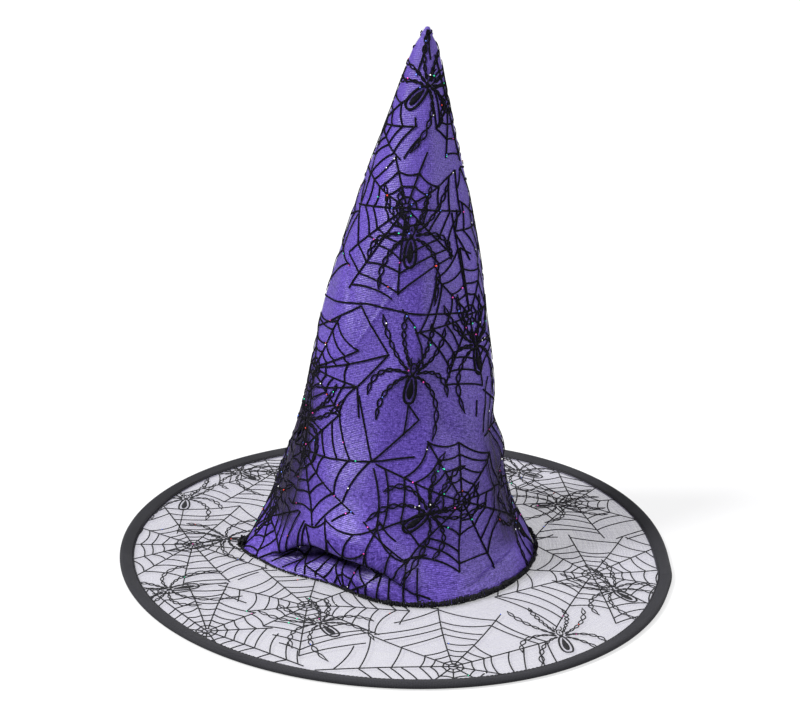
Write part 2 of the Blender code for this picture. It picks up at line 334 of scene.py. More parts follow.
def veil_relief(azimuth, height):
    """Pleats where the loose organza stands off the satin."""
    turn = azimuth + 90.0 * height
    pleat = 0.5 + 0.5 * np.sin(np.radians(turn * 96.0))
    slow = 0.5 + 0.5 * np.sin(np.radians(turn * 35.0 + 40.0))
    return veil_gathers(azimuth, height) * (0.0012 * pleat + 0.0022 * slow)


MOST_LEAN = 1.6                # limit of a layer's spread where the cone is flat
TIP_STEADY = 0.012             # the tip has no relief above this distance from its end


def crown_surface(azimuth, height, lift=0.0, veil=True):
    """Points on the satin (veil False) or on the organza, raised by lift."""
    azimuth, height = np.broadcast_arrays(np.asarray(azimuth, float), np.asarray(height, float))
    step = 0.0015
    slope = (crown_profile(height + step) - crown_profile(height - step)) / (2 * step)
    lean = np.minimum(np.hypot(1.0, slope), MOST_LEAN)
    steady = smooth_step(CROWN_HEIGHT, CROWN_HEIGHT - TIP_STEADY, height)
    shape = foot_shape(azimuth, height) + facet_relief(azimuth, height)
    radius = crown_profile(height) * (shape + side_kink(azimuth, height))
    radius = radius + steady * (waves(azimuth, height) + crease_relief(azimuth, height))
    radius = radius + seam_relief(azimuth, height) * steady
    outward = lift * lean * steady
    if veil:
        outward = outward + (VEIL_LIFT + veil_relief(azimuth, height) * steady) * lean
    radius = np.maximum(radius + outward, 0.0)
    rise = (lift + (VEIL_LIFT if veil else 0.0)) * (1.0 - steady)
    droop = fold_droop(azimuth, height) * (1.0 + outward / FOLD_DROOP)
    centre_x, centre_y = crown_centre(height)
    x, y = polar(radius, azimuth)
    return stacked(centre_x + x, centre_y + y, height + rise - droop)


def foot_radius(azimuth, inset=0.0):
    """Distance of the crown's foot from the foot's centre."""
    point = crown_surface(azimuth, FOOT_HEIGHT, -inset)
    return np.hypot(point[..., 0] - FOOT_CENTRE[0], point[..., 1] - FOOT_CENTRE[1])


BRIM_WAVE = 0.0005


def brim_margins(x, y):
    """Azimuth about the hoop, distance in from its edge and out from the foot."""
    hoop_azimuth = np.degrees(np.arctan2(y + HOOP_MIDDLE[1], x + HOOP_MIDDLE[0]))
    from_edge = hoop_radius(hoop_azimuth) - np.hypot(x + HOOP_MIDDLE[0], y + HOOP_MIDDLE[1])
    foot_azimuth = np.degrees(np.arctan2(y - FOOT_CENTRE[1], x - FOOT_CENTRE[0]))
    from_foot = np.hypot(x - FOOT_CENTRE[0], y - FOOT_CENTRE[1]) - foot_radius(foot_azimuth)
    return hoop_azimuth, from_edge, from_foot


def brim_surface(x, y):
    """The sheer brim: flat at the foot and the tape, a little wavy between."""
    x, y = np.broadcast_arrays(np.asarray(x, float), np.asarray(y, float))
    hoop_azimuth, from_edge, from_foot = brim_margins(x, y)
    free = smooth_step(TAPE_WIDTH - 0.001, TAPE_WIDTH + 0.030, from_edge)
    free = free * smooth_step(0.001, 0.022, from_foot)
    roll = np.sin(31 * x + 9 * y + 1.0) * np.sin(17 * y - 23 * x + 0.4)
    ripple = np.sin(np.radians(hoop_azimuth) * 9 + 60 * from_edge) * 0.35
    height = PANEL_TOP + free * BRIM_WAVE * (1.0 + roll + ripple)
    return stacked(x, y, height)


# A cloth that can be printed on, by its two parameters: its surface, the small
# steps that give its normals, where the print may lie, and metres per parameter
Cloth = namedtuple("Cloth", "surface steps inside scale")


# ---------------------------------------------------------------- meshes

def make_mesh(name, points, faces, material, uv=None, smooth=True):
    """An object from arrays of points and of quads."""
    mesh = bpy.data.meshes.new(name)
    mesh.vertices.add(len(points))
    mesh.vertices.foreach_set("co", np.asarray(points, np.float32).ravel())
    mesh.loops.add(faces.size)
    mesh.loops.foreach_set("vertex_index", faces.astype(np.int32).ravel())
    sides = faces.shape[1]
    mesh.polygons.add(len(faces))
    mesh.polygons.foreach_set("loop_start", np.arange(0, faces.size, sides, dtype=np.int32))
    mesh.polygons.foreach_set("loop_total", np.full(len(faces), sides, dtype=np.int32))
    if uv is not None:
        layer = mesh.uv_layers.new(name="cloth")
        layer.data.foreach_set("uv", np.asarray(uv, np.float32).ravel())
    mesh.update(calc_edges=True)
    mesh.validate()
    if smooth:
        mesh.shade_smooth()
    mesh.materials.append(material)
    thing = bpy.data.objects.new(name, mesh)
    bpy.context.scene.collection.objects.link(thing)
    return thing


def grid_faces(rows, columns, closed):
    """Quads of a grid of points, closed round its columns or open."""
    across = columns if closed else columns - 1
    row, column = np.meshgrid(np.arange(rows - 1), np.arange(across), indexing="ij")
    row, column = row.ravel(), column.ravel()
    after = (column + 1) % columns
    faces = np.stack([row * columns + column, row * columns + after,
                      (row + 1) * columns + after, (row + 1) * columns + column], axis=1)
    return faces, row, column


def grid_uv(row, column, u, v):
    """UV of each corner, in metres of cloth. u has one more value than columns."""
    corner_u = np.stack([u[column], u[column + 1], u[column + 1], u[column]], axis=1)
    corner_v = np.stack([v[row], v[row], v[row + 1], v[row + 1]], axis=1)
    return np.stack([corner_u, corner_v], axis=-1).reshape(-1, 2)


def thicken(thing, thickness):
    """Gives the cloth its thickness, inwards, in the mesh itself."""
    solidify = thing.modifiers.new("cloth", "SOLIDIFY")
    solidify.thickness = thickness
    solidify.offset = -1.0
    bpy.context.view_layer.update()
    solid = bpy.data.meshes.new_from_object(thing.evaluated_get(bpy.context.evaluated_depsgraph_get()))
    thing.modifiers.clear()
    thing.data = solid


def unit(vectors):
    return vectors / np.maximum(np.linalg.norm(vectors, axis=1, keepdims=True), 1e-12)


def cloth_normals(cloth, first, second):
    """Unit normals of a cloth at its two parameters."""
    step_first, step_second = cloth.steps
    across = cloth.surface(first + step_first, second) - cloth.surface(first - step_first, second)
    along = cloth.surface(first, second + step_second) - cloth.surface(first, second - step_second)
    return unit(np.cross(across, along))


RIBBON_SINK = 0.0001           # a ribbon's underside, into the cloth
RIBBON_TOP = 0.72              # its top's width, as a share of its foot's


def ribbon_mesh(name, lines, cloth, thickness, material):
    """Flat raised lines on a cloth. lines holds (points, widths) in the cloth's
    own parameters; all the ribbons become one mesh."""
    points = np.concatenate([line[0] for line in lines])
    widths = np.concatenate([np.broadcast_to(line[1], len(line[0])) for line in lines])
    centre = cloth.surface(points[:, 0], points[:, 1])
    normal = cloth_normals(cloth, points[:, 0], points[:, 1])
    counts = np.array([len(line[0]) for line in lines])
    first = np.concatenate([[0], np.cumsum(counts)[:-1]])
    last = first + counts - 1
    ahead = np.minimum(np.arange(len(points)) + 1, np.repeat(last, counts))
    behind = np.maximum(np.arange(len(points)) - 1, np.repeat(first, counts))
    side = unit(np.cross(normal, centre[ahead] - centre[behind])) * widths[:, None] / 2
    low = centre - normal * RIBBON_SINK
    high = centre + normal * thickness
    rings = np.stack([low - side, low + side, high + side * RIBBON_TOP, high - side * RIBBON_TOP], axis=1)
    body = np.delete(np.arange(len(points)), last)
    quads = [np.stack([body * 4 + k, body * 4 + (k + 1) % 4,
                       (body + 1) * 4 + (k + 1) % 4, (body + 1) * 4 + k], axis=1)
             for k in range(4)]
    start_cap = np.stack([first * 4 + k for k in (3, 2, 1, 0)], axis=1)
    end_cap = np.stack([last * 4 + k for k in (0, 1, 2, 3)], axis=1)
    faces = np.concatenate(quads + [start_cap, end_cap])
    return make_mesh(name, rings.reshape(-1, 3), faces, material, smooth=False)


THREAD_SIDES = 5


def tube_mesh(name, lines, radius, material):
    """Threads along lines of points in space, joined in one mesh."""
    index = np.arange(THREAD_SIDES)
    turn = index * 2 * math.pi / THREAD_SIDES
    after = (index + 1) % THREAD_SIDES
    points, faces, used = [], [], 0
    for line in lines:
        line = np.asarray(line, float)
        tangent = unit(np.gradient(line, axis=0))
        upright = np.abs(tangent[:, 2:3]) > 0.8
        side = unit(np.cross(tangent, np.where(upright, [[1.0, 0.0, 0.0]], [[0.0, 0.0, 1.0]])))
        up = np.cross(tangent, side)
        ring = (side[:, None] * np.cos(turn)[:, None] + up[:, None] * np.sin(turn)[:, None])
        ring = (line[:, None] + radius * ring).reshape(-1, 3)
        tips = np.stack([line[0] - tangent[0] * radius, line[-1] + tangent[-1] * radius])
        quads, _, _ = grid_faces(len(line), THREAD_SIDES, closed=True)
        last = (len(line) - 1) * THREAD_SIDES
        start = np.full(THREAD_SIDES, len(ring))
        faces += [used + quads[:, [0, 1, 2]], used + quads[:, [0, 2, 3]],
                  used + np.stack([after, index, start], axis=1),
                  used + np.stack([last + index, last + after, start + 1], axis=1)]
        points += [ring, tips]
        used += len(ring) + 2
    return make_mesh(name, np.concatenate(points), np.concatenate(faces), material)


# ---------------------------------------------------------------- materials

def tinted(colour, share, added=0.0):
    """The colour times share, as a node's colour."""
    return (*(channel * share + added for channel in colour), 1.0)


class Nodes:
    """A material's node tree with short ways to add and join nodes."""

    def __init__(self, name):
        self.material = bpy.data.materials.new(name)
        self.material.use_nodes = True
        self.tree = self.material.node_tree
        self.shader = self.tree.nodes["Principled BSDF"]

    def add(self, kind, inputs=None, **settings):
        node = self.tree.nodes.new("ShaderNode" + kind)
        for key, value in settings.items():
            setattr(node, key, value)
        for key, value in (inputs or {}).items():
            if isinstance(value, bpy.types.NodeSocket):
                self.tree.links.new(value, node.inputs[key])
            else:
                node.inputs[key].default_value = value
        return node

    def math(self, operation, first, second=0.0):
        return self.add("Math", {0: first, 1: second}, operation=operation).outputs[0]

    def mix(self, factor, first, second):
        inputs = {"Factor": factor, 6: first, 7: second}
        return self.add("Mix", inputs, data_type="RGBA").outputs[2]

    def ramp(self, value, low, high, output_low=0.0, output_high=1.0):
        inputs = {"Value": value, "From Min": low, "From Max": high,
                  "To Min": output_low, "To Max": output_high}
        return self.add("MapRange", inputs).outputs[0]

    def cloth_space(self, across, along):
        """The cloth's own coordinates, scaled for a texture of these sizes in metres."""
        uv = self.add("UVMap", uv_map="cloth").outputs[0]
        scale = (1.0 / across, 1.0 / along, 1.0)
        return self.add("Mapping", {"Vector": uv, "Scale": scale}).outputs[0]

    def object_space(self):
        return self.add("TexCoord").outputs["Object"]

    def noise(self, vector, scale, detail=2.0, roughness=0.5):
        inputs = {"Vector": vector, "Scale": scale, "Detail": detail, "Roughness": roughness}
        return self.add("TexNoise", inputs).outputs["Fac"]

    def bands(self, vector, pitch, direction="Y", distortion=0.0):
        """Soft stripes this far apart, in the units of the vector."""
        inputs = {"Vector": vector, "Scale": math.pi / 10 / pitch, "Distortion": distortion}
        settings = {"wave_type": "BANDS", "bands_direction": direction}
        return self.add("TexWave", inputs, **settings).outputs["Fac"]

    def bump(self, height, distance, strength):
        inputs = {"Height": height, "Distance": distance, "Strength": strength}
        return self.add("Bump", inputs).outputs[0]

    def set(self, **values):
        for key, value in values.items():
            socket = self.shader.inputs[key.replace("_", " ")]
            if isinstance(value, bpy.types.NodeSocket):
                self.tree.links.new(value, socket)
            else:
                socket.default_value = value


RIB_PITCH = 0.0011
FOLD_SHADE_REACH = 0.018           # how far off another fold still paints shade into a crease


def satin_material(name, shade=1.0):
    """Purple satin with fine cross ribs. Its colour has short bright dashes and specks,
    partly its weave and partly painted sheen, and painted shade deep in its folds."""
    nodes = Nodes(name)
    dashes = nodes.noise(nodes.cloth_space(0.0036, 0.0017), 1.0, 2.0, 0.75)
    ribs = nodes.bands(nodes.cloth_space(1.0, 1.0), RIB_PITCH, "Y", 0.6)
    columns = nodes.noise(nodes.cloth_space(0.0009, 0.008), 1.0, 1.0)
    float_sparkle = nodes.noise(nodes.cloth_space(0.0013, 0.0008), 1.0, 1.0)
    cloud = nodes.noise(nodes.object_space(), 14.0, 3.0)
    deep = tinted((0.036, 0.011, 0.205), shade)
    bright = tinted((0.270, 0.165, 0.860), shade)
    # The colour's mix of weave tone and painted sheen: bright dashes, partly the real weave, and specks of
    # painted glint from the floats.
    threads = nodes.math("MULTIPLY", columns, 0.2)
    weave_and_sheen = nodes.math("ADD", nodes.math("MULTIPLY", dashes, 0.8), threads)
    weave_and_sheen = nodes.ramp(weave_and_sheen, 0.36, 0.68, 0.02, 0.66)
    weave_and_sheen = nodes.math("ADD", weave_and_sheen, nodes.ramp(cloud, 0.3, 0.7, -0.11, 0.08))
    # Painted sheen: small bright specks for the glint of the satin's floats.
    weave_and_sheen = nodes.math("ADD", weave_and_sheen, nodes.ramp(float_sparkle, 0.50, 0.78, -0.03, 0.50))
    # Painted shade: ambient occlusion darkens the colour towards black deep in folds and creases.
    fold_shade = nodes.add("AmbientOcclusion", {"Distance": FOLD_SHADE_REACH}, only_local=True, samples=8)
    unshaded_share = nodes.ramp(fold_shade.outputs["AO"], 0.30, 0.92, 0.12, 1.0)
    fine = nodes.math("ADD", nodes.math("MULTIPLY", ribs, 0.45), dashes)
    colour = nodes.mix(unshaded_share, (0.0, 0.0, 0.0, 1.0), nodes.mix(weave_and_sheen, deep, bright))
    nodes.set(Base_Color=colour, Normal=nodes.bump(fine, 0.00030, 0.85),
              Roughness=nodes.ramp(dashes, 0.3, 0.7, 0.50, 0.34), Sheen_Weight=0.13,
              Sheen_Roughness=0.4, Sheen_Tint=(0.72, 0.66, 1.0, 1.0), Specular_IOR_Level=0.5)
    return nodes.material


def organza_material(name, colour, cover, gathered, sheen):
    """Sheer weave: what it hides grows as it is seen closer to edge-on, and
    where the attribute "gather" says that it lies in several layers."""
    nodes = Nodes(name)
    facing = nodes.add("LayerWeight", {"Blend": 0.5}).outputs["Facing"]
    cosine = nodes.math("MAXIMUM", nodes.math("SUBTRACT", 1.0, facing), 0.20)
    gather = nodes.add("Attribute", attribute_name="gather").outputs["Fac"]
    single = nodes.math("SUBTRACT", 1.0 - cover, nodes.math("MULTIPLY", gather, gathered))
    passes = nodes.math("POWER", single, nodes.math("DIVIDE", 1.0, cosine))
    hidden = nodes.math("SUBTRACT", 1.0, passes)
    threads = nodes.noise(nodes.cloth_space(0.0200, 0.0006), 1.0, 2.0)
    cross_threads = nodes.noise(nodes.cloth_space(0.0006, 0.0200), 1.0, 2.0)
    streaks = nodes.noise(nodes.cloth_space(0.0500, 0.0022), 1.0, 2.0)
    weave = nodes.math("MULTIPLY", nodes.math("ADD", threads, cross_threads), 0.7)
    weave = nodes.math("ADD", weave, nodes.math("MULTIPLY", streaks, 0.6))
    alpha = nodes.math("MULTIPLY", hidden, nodes.ramp(weave, 0.7, 1.3, 0.70, 1.30))
    tone = nodes.mix(nodes.ramp(weave, 0.75, 1.25), tinted(colour, 1.0), tinted(colour, 1.35))
    nodes.set(Base_Color=tone, Alpha=alpha, Roughness=0.6, Sheen_Weight=sheen, Sheen_Roughness=0.4,
              Sheen_Tint=(0.80, 0.80, 0.95, 1.0), Specular_IOR_Level=0.2)
    return nodes.material


def flock_material(name, colour):
    """Short black velvet fibres, with a few pale specks painted in as glints."""
    nodes = Nodes(name)
    space = nodes.object_space()
    fibre = nodes.noise(space, 2600.0, 2.0, 0.7)
    # Painted glints: a few pale specks on the dark fibres.
    glint_speck = nodes.ramp(nodes.noise(space, 1500.0, 1.0), 0.66, 0.74)
    body = nodes.mix(nodes.ramp(fibre, 0.3, 0.7), tinted(colour, 0.55), tinted(colour, 1.6))
    nodes.set(Base_Color=nodes.mix(glint_speck, body, tinted(colour, 4.5, 0.03)), Roughness=0.92,
              Normal=nodes.bump(fibre, 0.00015, 0.8), Specular_IOR_Level=0.12)
    return nodes.material


def thread_material(name, colour):
    """Spun thread with its twist."""
    nodes = Nodes(name)
    twist = nodes.noise(nodes.object_space(), 1800.0, 2.0, 0.6)
    tone = nodes.mix(nodes.ramp(twist, 0.3, 0.7), tinted(colour, 0.6), tinted(colour, 1.9))
    nodes.set(Base_Color=tone, Roughness=0.7, Normal=nodes.bump(twist, 0.00012, 0.7),
              Specular_IOR_Level=0.25)
    return nodes.material


TAPE_RIB_PITCH = 0.0009


def tape_material(name):
    """Charcoal ribbed tape: cross ribs, slightly lighter on their crowns."""
    nodes = Nodes(name)
    ribs = nodes.bands(nodes.cloth_space(1.0, 1.0), TAPE_RIB_PITCH, "X")
    fuzz = nodes.noise(nodes.cloth_space(0.0006, 0.0006), 1.0, 3.0, 0.65)
    cloud = nodes.noise(nodes.cloth_space(0.03, 0.012), 1.0, 2.0)
    shade = nodes.math("ADD", nodes.math("MULTIPLY", ribs, 0.35), nodes.math("MULTIPLY", fuzz, 0.65))
    unevenness = nodes.ramp(cloud, 0.3, 0.7, -0.15, 0.15)
    shade = nodes.math("ADD", nodes.ramp(shade, 0.2, 0.8), unevenness)
    colour = nodes.mix(shade, (0.014, 0.014, 0.017, 1.0), (0.036, 0.036, 0.042, 1.0))
    relief = nodes.math("ADD", ribs, nodes.math("MULTIPLY", fuzz, 0.5))
    nodes.set(Base_Color=colour, Roughness=0.82, Normal=nodes.bump(relief, 0.00012, 0.6),
              Sheen_Weight=0.05, Sheen_Roughness=0.5, Specular_IOR_Level=0.2)
    return nodes.material


def glitter_material(name, colour):
    """A foil flake: tinted mirror with tiny flaws, that also glows faintly in its own colour as a painted
    sparkle.
    """
    nodes = Nodes(name)
    flaw = nodes.noise(nodes.object_space(), 900.0, 1.0)
    clear = tinted(colour, 1.0)
    # Painted light: the emission makes the flake glow in its own colour, though it is no lamp.
    nodes.set(Base_Color=nodes.mix(nodes.ramp(flaw, 0.35, 0.65), tinted(colour, 0.75), clear),
              Metallic=0.65, Roughness=nodes.ramp(flaw, 0.3, 0.7, 0.18, 0.34),
              Emission_Color=clear, Emission_Strength=0.50)
    return nodes.material


def metal_material(name, colour, roughness):
    """Drawn wire or plated sheet with fine marks."""
    nodes = Nodes(name)
    marks = nodes.noise(nodes.object_space(), 900.0, 3.0)
    nodes.set(Base_Color=nodes.mix(marks, tinted(colour, 0.7), tinted(colour, 1.0)), Metallic=1.0,
              Roughness=nodes.ramp(marks, 0.3, 0.7, roughness - 0.08, roughness + 0.10),
              Normal=nodes.bump(marks, 0.00002, 0.4))
    return nodes.material


def floor_material(name):
    """White to the camera, and a duller card to the light that it throws back."""
    nodes = Nodes(name)
    tone = nodes.noise(nodes.object_space(), 3.0, 2.0)
    seen = nodes.add("LightPath").outputs["Is Camera Ray"]
    white = nodes.mix(tone, (0.31, 0.31, 0.32, 1.0), (0.33, 0.33, 0.33, 1.0))
    nodes.set(Base_Color=nodes.mix(seen, (0.34, 0.34, 0.35, 1.0), white), Roughness=0.9,
              Specular_IOR_Level=0.0, Emission_Color=seen, Emission_Strength=0.66)
    return nodes.material


satin = satin_material("purple_satin")
satin_inside = satin_material("satin_seam_cloth", 0.7)
crown_organza = organza_material("crown_organza", (0.028, 0.023, 0.042), 0.020, 0.36, 0.0)
brim_organza = organza_material("brim_organza", (0.300, 0.290, 0.360), 0.160, 0.0, 0.10)
crown_flock_black = flock_material("crown_flock_black", (0.0042, 0.0040, 0.0060))
brim_flock_black = flock_material("brim_flock_black", (0.024, 0.024, 0.026))
black_thread = thread_material("black_thread", (0.0055, 0.0055, 0.0070))
tape = tape_material("binding_tape")
steel = metal_material("hoop_steel", (0.62, 0.62, 0.62), 0.30)
zinc = metal_material("ferrule_zinc", (0.68, 0.68, 0.66), 0.38)


# ---------------------------------------------------------------- the cones

CROWN_COLUMNS = 300
CROWN_ROWS = 380
FOOT_LENGTH = 2 * math.pi * FOOT_RADIUS
CROWN_AZIMUTHS = round_steps(CROWN_COLUMNS) + SEAM_AZIMUTH


def crown_heights():
    """Rows of the cones, closer together at the folded foot and the pinched tip."""
    span = CROWN_HEIGHT - TIP_ROUNDING - FOOT_HEIGHT
    body = FOOT_HEIGHT + span * np.linspace(0.0, 1.0, CROWN_ROWS) ** 1.45
    tip = CROWN_HEIGHT - TIP_ROUNDING * np.linspace(0.94, 0.0005, 9) ** 2
    return np.concatenate([body, tip])


def cone_mesh(name, material, veil):
    """One cone of cloth, with its UV in metres of cloth."""
    heights = crown_heights()
    points = crown_surface(CROWN_AZIMUTHS[None, :], heights[:, None], veil=veil)
    faces, row, column = grid_faces(len(heights), CROWN_COLUMNS, closed=True)
    u = np.linspace(0.0, FOOT_LENGTH, CROWN_COLUMNS + 1)
    uv = grid_uv(row, column, u, heights / SLANT)
    return make_mesh(name, points.reshape(-1, 3), faces, material, uv)


def paint_gathers(thing):
    """Stores how far the organza is gathered at each point."""
    gather = veil_gathers(CROWN_AZIMUTHS[None, :], crown_heights()[:, None])
    attribute = thing.data.attributes.new("gather", "FLOAT", "POINT")
    attribute.data.foreach_set("value", gather.ravel().astype(np.float32))


crown_lining = cone_mesh("crown_lining", satin, veil=False)
thicken(crown_lining, SATIN_THICKNESS)
crown_overlay = cone_mesh("crown_overlay", crown_organza, veil=True)
paint_gathers(crown_overlay)
thicken(crown_overlay, VEIL_THICKNESS)


# ---------------------------------------------------------------- the brim

BRIM_COLUMNS = 720
BRIM_ROWS = 64
COLLAR_ROWS = 9


def brim_panel_mesh():
    """One sheet: flat from the tape to the foot, then turned up inside the crown."""
    azimuth = round_steps(BRIM_COLUMNS)
    outer = brim_point(azimuth, PANEL_CATCH, 0.0)[:, :2]
    inner = FOOT_CENTRE + np.stack(polar(foot_radius(azimuth, COLLAR_INSET), azimuth), axis=-1)
    share = np.linspace(0.0, 1.0, BRIM_ROWS)[:, None, None]
    flat = outer + (inner - outer) * share
    points = [brim_surface(row[:, 0], row[:, 1]) for row in flat]
    width = np.linalg.norm(outer - inner, axis=1).mean()
    cloth = list(np.linspace(0.0, width, BRIM_ROWS))
    for height in np.linspace(0.0, COLLAR_HEIGHT, COLLAR_ROWS + 1)[1:]:
        points.append(crown_surface(azimuth, PANEL_TOP + height, -COLLAR_INSET))
        cloth.append(width + height)
    faces, row, column = grid_faces(len(points), BRIM_COLUMNS, closed=True)
    u = np.linspace(0.0, 2 * math.pi * (BRIM_RADIUS - width / 2), BRIM_COLUMNS + 1)
    uv = grid_uv(row, column, u, np.array(cloth))
    return make_mesh("brim_sheer_panel", np.concatenate(points), faces, brim_organza, uv)


brim_sheer_panel = brim_panel_mesh()
thicken(brim_sheer_panel, VEIL_THICKNESS)


# ---------------------------------------------------------------- the tape

TAPE_COLUMNS = 720
TAPE_ARC_STEPS = 12
TAPE_BELLY = 0.0002            # how far the upper leg is rounded up
TAPE_TOP = FOOT_HEIGHT + TAPE_THICKNESS


def tape_leg(steps, start, end, lift):
    """One leg of the folded tape, drawn slightly round between its ends."""
    share = np.linspace(0.0, 1.0, steps)
    inset = start[0] + (end[0] - start[0]) * share
    height = start[1] + (end[1] - start[1]) * share + lift * np.sin(math.pi * share)
    return list(zip(inset, height))


def tape_section():
    """(distance in from the edge, height) round the tape: out of its lower
    leg, round the wire, in along its upper leg, and back through the inside."""
    def arc(radius):
        turn = -math.pi / 2 - math.pi * np.linspace(0.0, 1.0, TAPE_ARC_STEPS)
        return list(zip(EDGE_RADIUS + radius * np.cos(turn), EDGE_RADIUS + radius * np.sin(turn)))
    outer_join = EDGE_RADIUS + 0.0004
    inner_join = EDGE_RADIUS + 0.0006
    outside = tape_leg(8, (TAPE_WIDTH, 0.0), (outer_join, 0.0), 0.0)
    outside += arc(EDGE_RADIUS)
    upper_start = (outer_join, 2 * EDGE_RADIUS - 0.00003)
    outside += tape_leg(10, upper_start, (TAPE_WIDTH - 0.0002, TAPE_TOP), TAPE_BELLY)
    inside = tape_leg(6, (TAPE_WIDTH, FOOT_HEIGHT), (inner_join, EDGE_RADIUS + CASING_RADIUS), TAPE_BELLY / 2)
    inside += arc(CASING_RADIUS)[::-1]
    inside += tape_leg(6, (inner_join, TAPE_THICKNESS), (TAPE_WIDTH, TAPE_THICKNESS), 0.0)
    return np.array(outside + inside)


def tape_unevenness(azimuth, inset):
    """The upper leg is a little uneven and its inner edge is not quite true."""
    slow = np.sin(np.radians(azimuth * 7 + 20)) + np.sin(np.radians(azimuth * 13 + 80))
    quick = np.sin(np.radians(azimuth * 83)) * np.sin(np.radians(azimuth * 29 + 10))
    inner = np.clip((inset - EDGE_RADIUS) / (TAPE_WIDTH - EDGE_RADIUS), 0.0, 1.0)
    return inner * (0.00016 * slow + 0.00005 * quick)


def tape_mesh():
    """The folded tape swept round the brim, as one closed ring."""
    section = tape_section()
    azimuth = HOOP_JOINT + round_steps(TAPE_COLUMNS)
    rings = []
    for inset, height in section:
        push = tape_unevenness(azimuth, inset)
        lift = push * 0.4 if height > EDGE_RADIUS else 0.0
        rings.append(brim_point(azimuth, inset + push, height + lift))
    points = np.stack(rings + rings[:1])
    girth = np.concatenate([[0.0], np.cumsum(np.hypot(*np.diff(section, axis=0).T))])
    girth = np.append(girth, girth[-1] + TAPE_THICKNESS)
    faces, row, column = grid_faces(len(rings) + 1, TAPE_COLUMNS, closed=True)
    u = np.linspace(0.0, 2 * math.pi * BRIM_RADIUS, TAPE_COLUMNS + 1)
    uv = grid_uv(row, column, u, girth)
    faces = faces % (len(rings) * TAPE_COLUMNS)
    return make_mesh("brim_binding_tape", points[:-1].reshape(-1, 3), faces, tape, uv)


def upper_leg_height(inset):
    """Height of the tape's upper face."""
    share = (inset - EDGE_RADIUS) / (TAPE_WIDTH - EDGE_RADIUS)
    start = 2 * EDGE_RADIUS
    return start + (TAPE_TOP - start) * share + TAPE_BELLY * math.sin(math.pi * share)


brim_tape = tape_mesh()

STITCH_INSET = TAPE_WIDTH - 0.0012
STITCH_PITCH = 0.0026
STITCH_RADIUS = 0.00016
STITCH_LIFT = np.array([-0.0003, 0.00006, 0.00010, 0.00006, -0.0003])


def topstitch_lines():
    """Short stitches that dip into the tape at each end."""
    count = int(2 * math.pi * (BRIM_RADIUS - STITCH_INSET) / STITCH_PITCH)
    height = upper_leg_height(STITCH_INSET) + STITCH_LIFT
    along = np.linspace(0.06, 0.94, len(STITCH_LIFT))
    return [brim_point(HOOP_JOINT + (index + along) * 360.0 / count, STITCH_INSET, height)
            for index in range(count)]


brim_topstitch = tube_mesh("brim_topstitch", topstitch_lines(), STITCH_RADIUS, black_thread)


# ---------------------------------------------------------------- the print

LINE_STEP = 0.0011             # points along a printed line
CROWN_LINE = 0.00120           # width of a web's threads
CROWN_STRAND = 0.00105         # width of a spider's strands
CROWN_RING_GAP = 0.0078        # between a web's first rings
CROWN_REACH = 0.066            # length of the threads of a web drawn by chance
BRIM_LINE = 0.00088
BRIM_STRAND = 0.00080
BRIM_RING_GAP = 0.0068
BRIM_REACH = 0.075
CELL_OVERLAP = 0.004           # how far a web runs past the middle line to the next


def bezier(*controls, count=24):
    """A smooth line through its first and last control points."""
    t = np.linspace(0.0, 1.0, count)[:, None]
    points = np.zeros((count, 2))
    last = len(controls) - 1
    for index, control in enumerate(controls):
        points += math.comb(last, index) * t ** index * (1 - t) ** (last - index) * np.array(control)
    return points


WEB_COIL = (0.0022, 0.0034)    # inner and outer radius of the coil at a web's middle
FIRST_RING = 0.0068            # radius of the first ring
WIDEST_GAP = 2.0               # no ring spans threads further apart than this, radians


def web_lines(rng, spokes, ring_gap, line):
    """A web about its middle. spokes holds each thread's direction in radians
    and length. Rings bow towards the middle and miss a few places."""
    spokes = sorted(spokes)
    count = len(spokes)
    lines = []
    for index, (direction, length) in enumerate(spokes):
        heading = np.array([math.cos(direction), math.sin(direction)])
        start = heading * (0.0 if index % 4 == 0 else WEB_COIL[0] + 0.0004)
        end = heading * length
        aside = np.array([-end[1], end[0]]) * rng.uniform(-0.03, 0.03)
        lines.append((bezier(start, (start + end) / 2 + aside, end), line))
    turn = np.linspace(0, 2 * math.pi * 1.2, 30) + rng.uniform(0, 6)
    coil = np.linspace(*WEB_COIL, 30)
    lines.append((np.stack([coil * np.cos(turn), coil * np.sin(turn)], axis=1), line * 0.75))
    reach = max(length for _, length in spokes)
    radius, step, ring = FIRST_RING, ring_gap, 0
    while radius - step * 0.6 < reach:
        scatter = rng.uniform(0.93, 1.07, count)
        skip = rng.random(count)
        bow = rng.uniform(0.03, 0.13, count)
        for here in range(count):
            after = (here + 1) % count
            gap = (spokes[after][0] - spokes[here][0]) % (2 * math.pi)
            beyond = radius - step * 0.6 > min(spokes[here][1], spokes[after][1])
            missing = skip[here] < (0.03 if ring < 3 else 0.12)
            if gap > WIDEST_GAP or beyond or missing:
                continue
            ends = [min(radius * scatter[k], spokes[k][1])
                    * np.array([math.cos(spokes[k][0]), math.sin(spokes[k][0])])
                    for k in (here, after)]
            middle = (ends[0] + ends[1]) / 2 * (1 - bow[here] * (0.6 + gap))
            lines.append((bezier(ends[0], middle, ends[1]), line))
        ring += 1
        step = ring_gap * (0.82 + 0.12 * ring)
        radius += step
    return lines


def random_spokes(rng, reach):
    """Nine to eleven uneven threads all round."""
    count = int(rng.integers(9, 12))
    turn = rng.uniform(0, 2 * math.pi)
    uneven = rng.uniform(0.6, 1.4, count)
    direction = turn + np.cumsum(uneven) / uneven.sum() * 2 * math.pi
    length = reach * rng.uniform(0.8, 1.15, count)
    return list(zip(direction % (2 * math.pi), length))


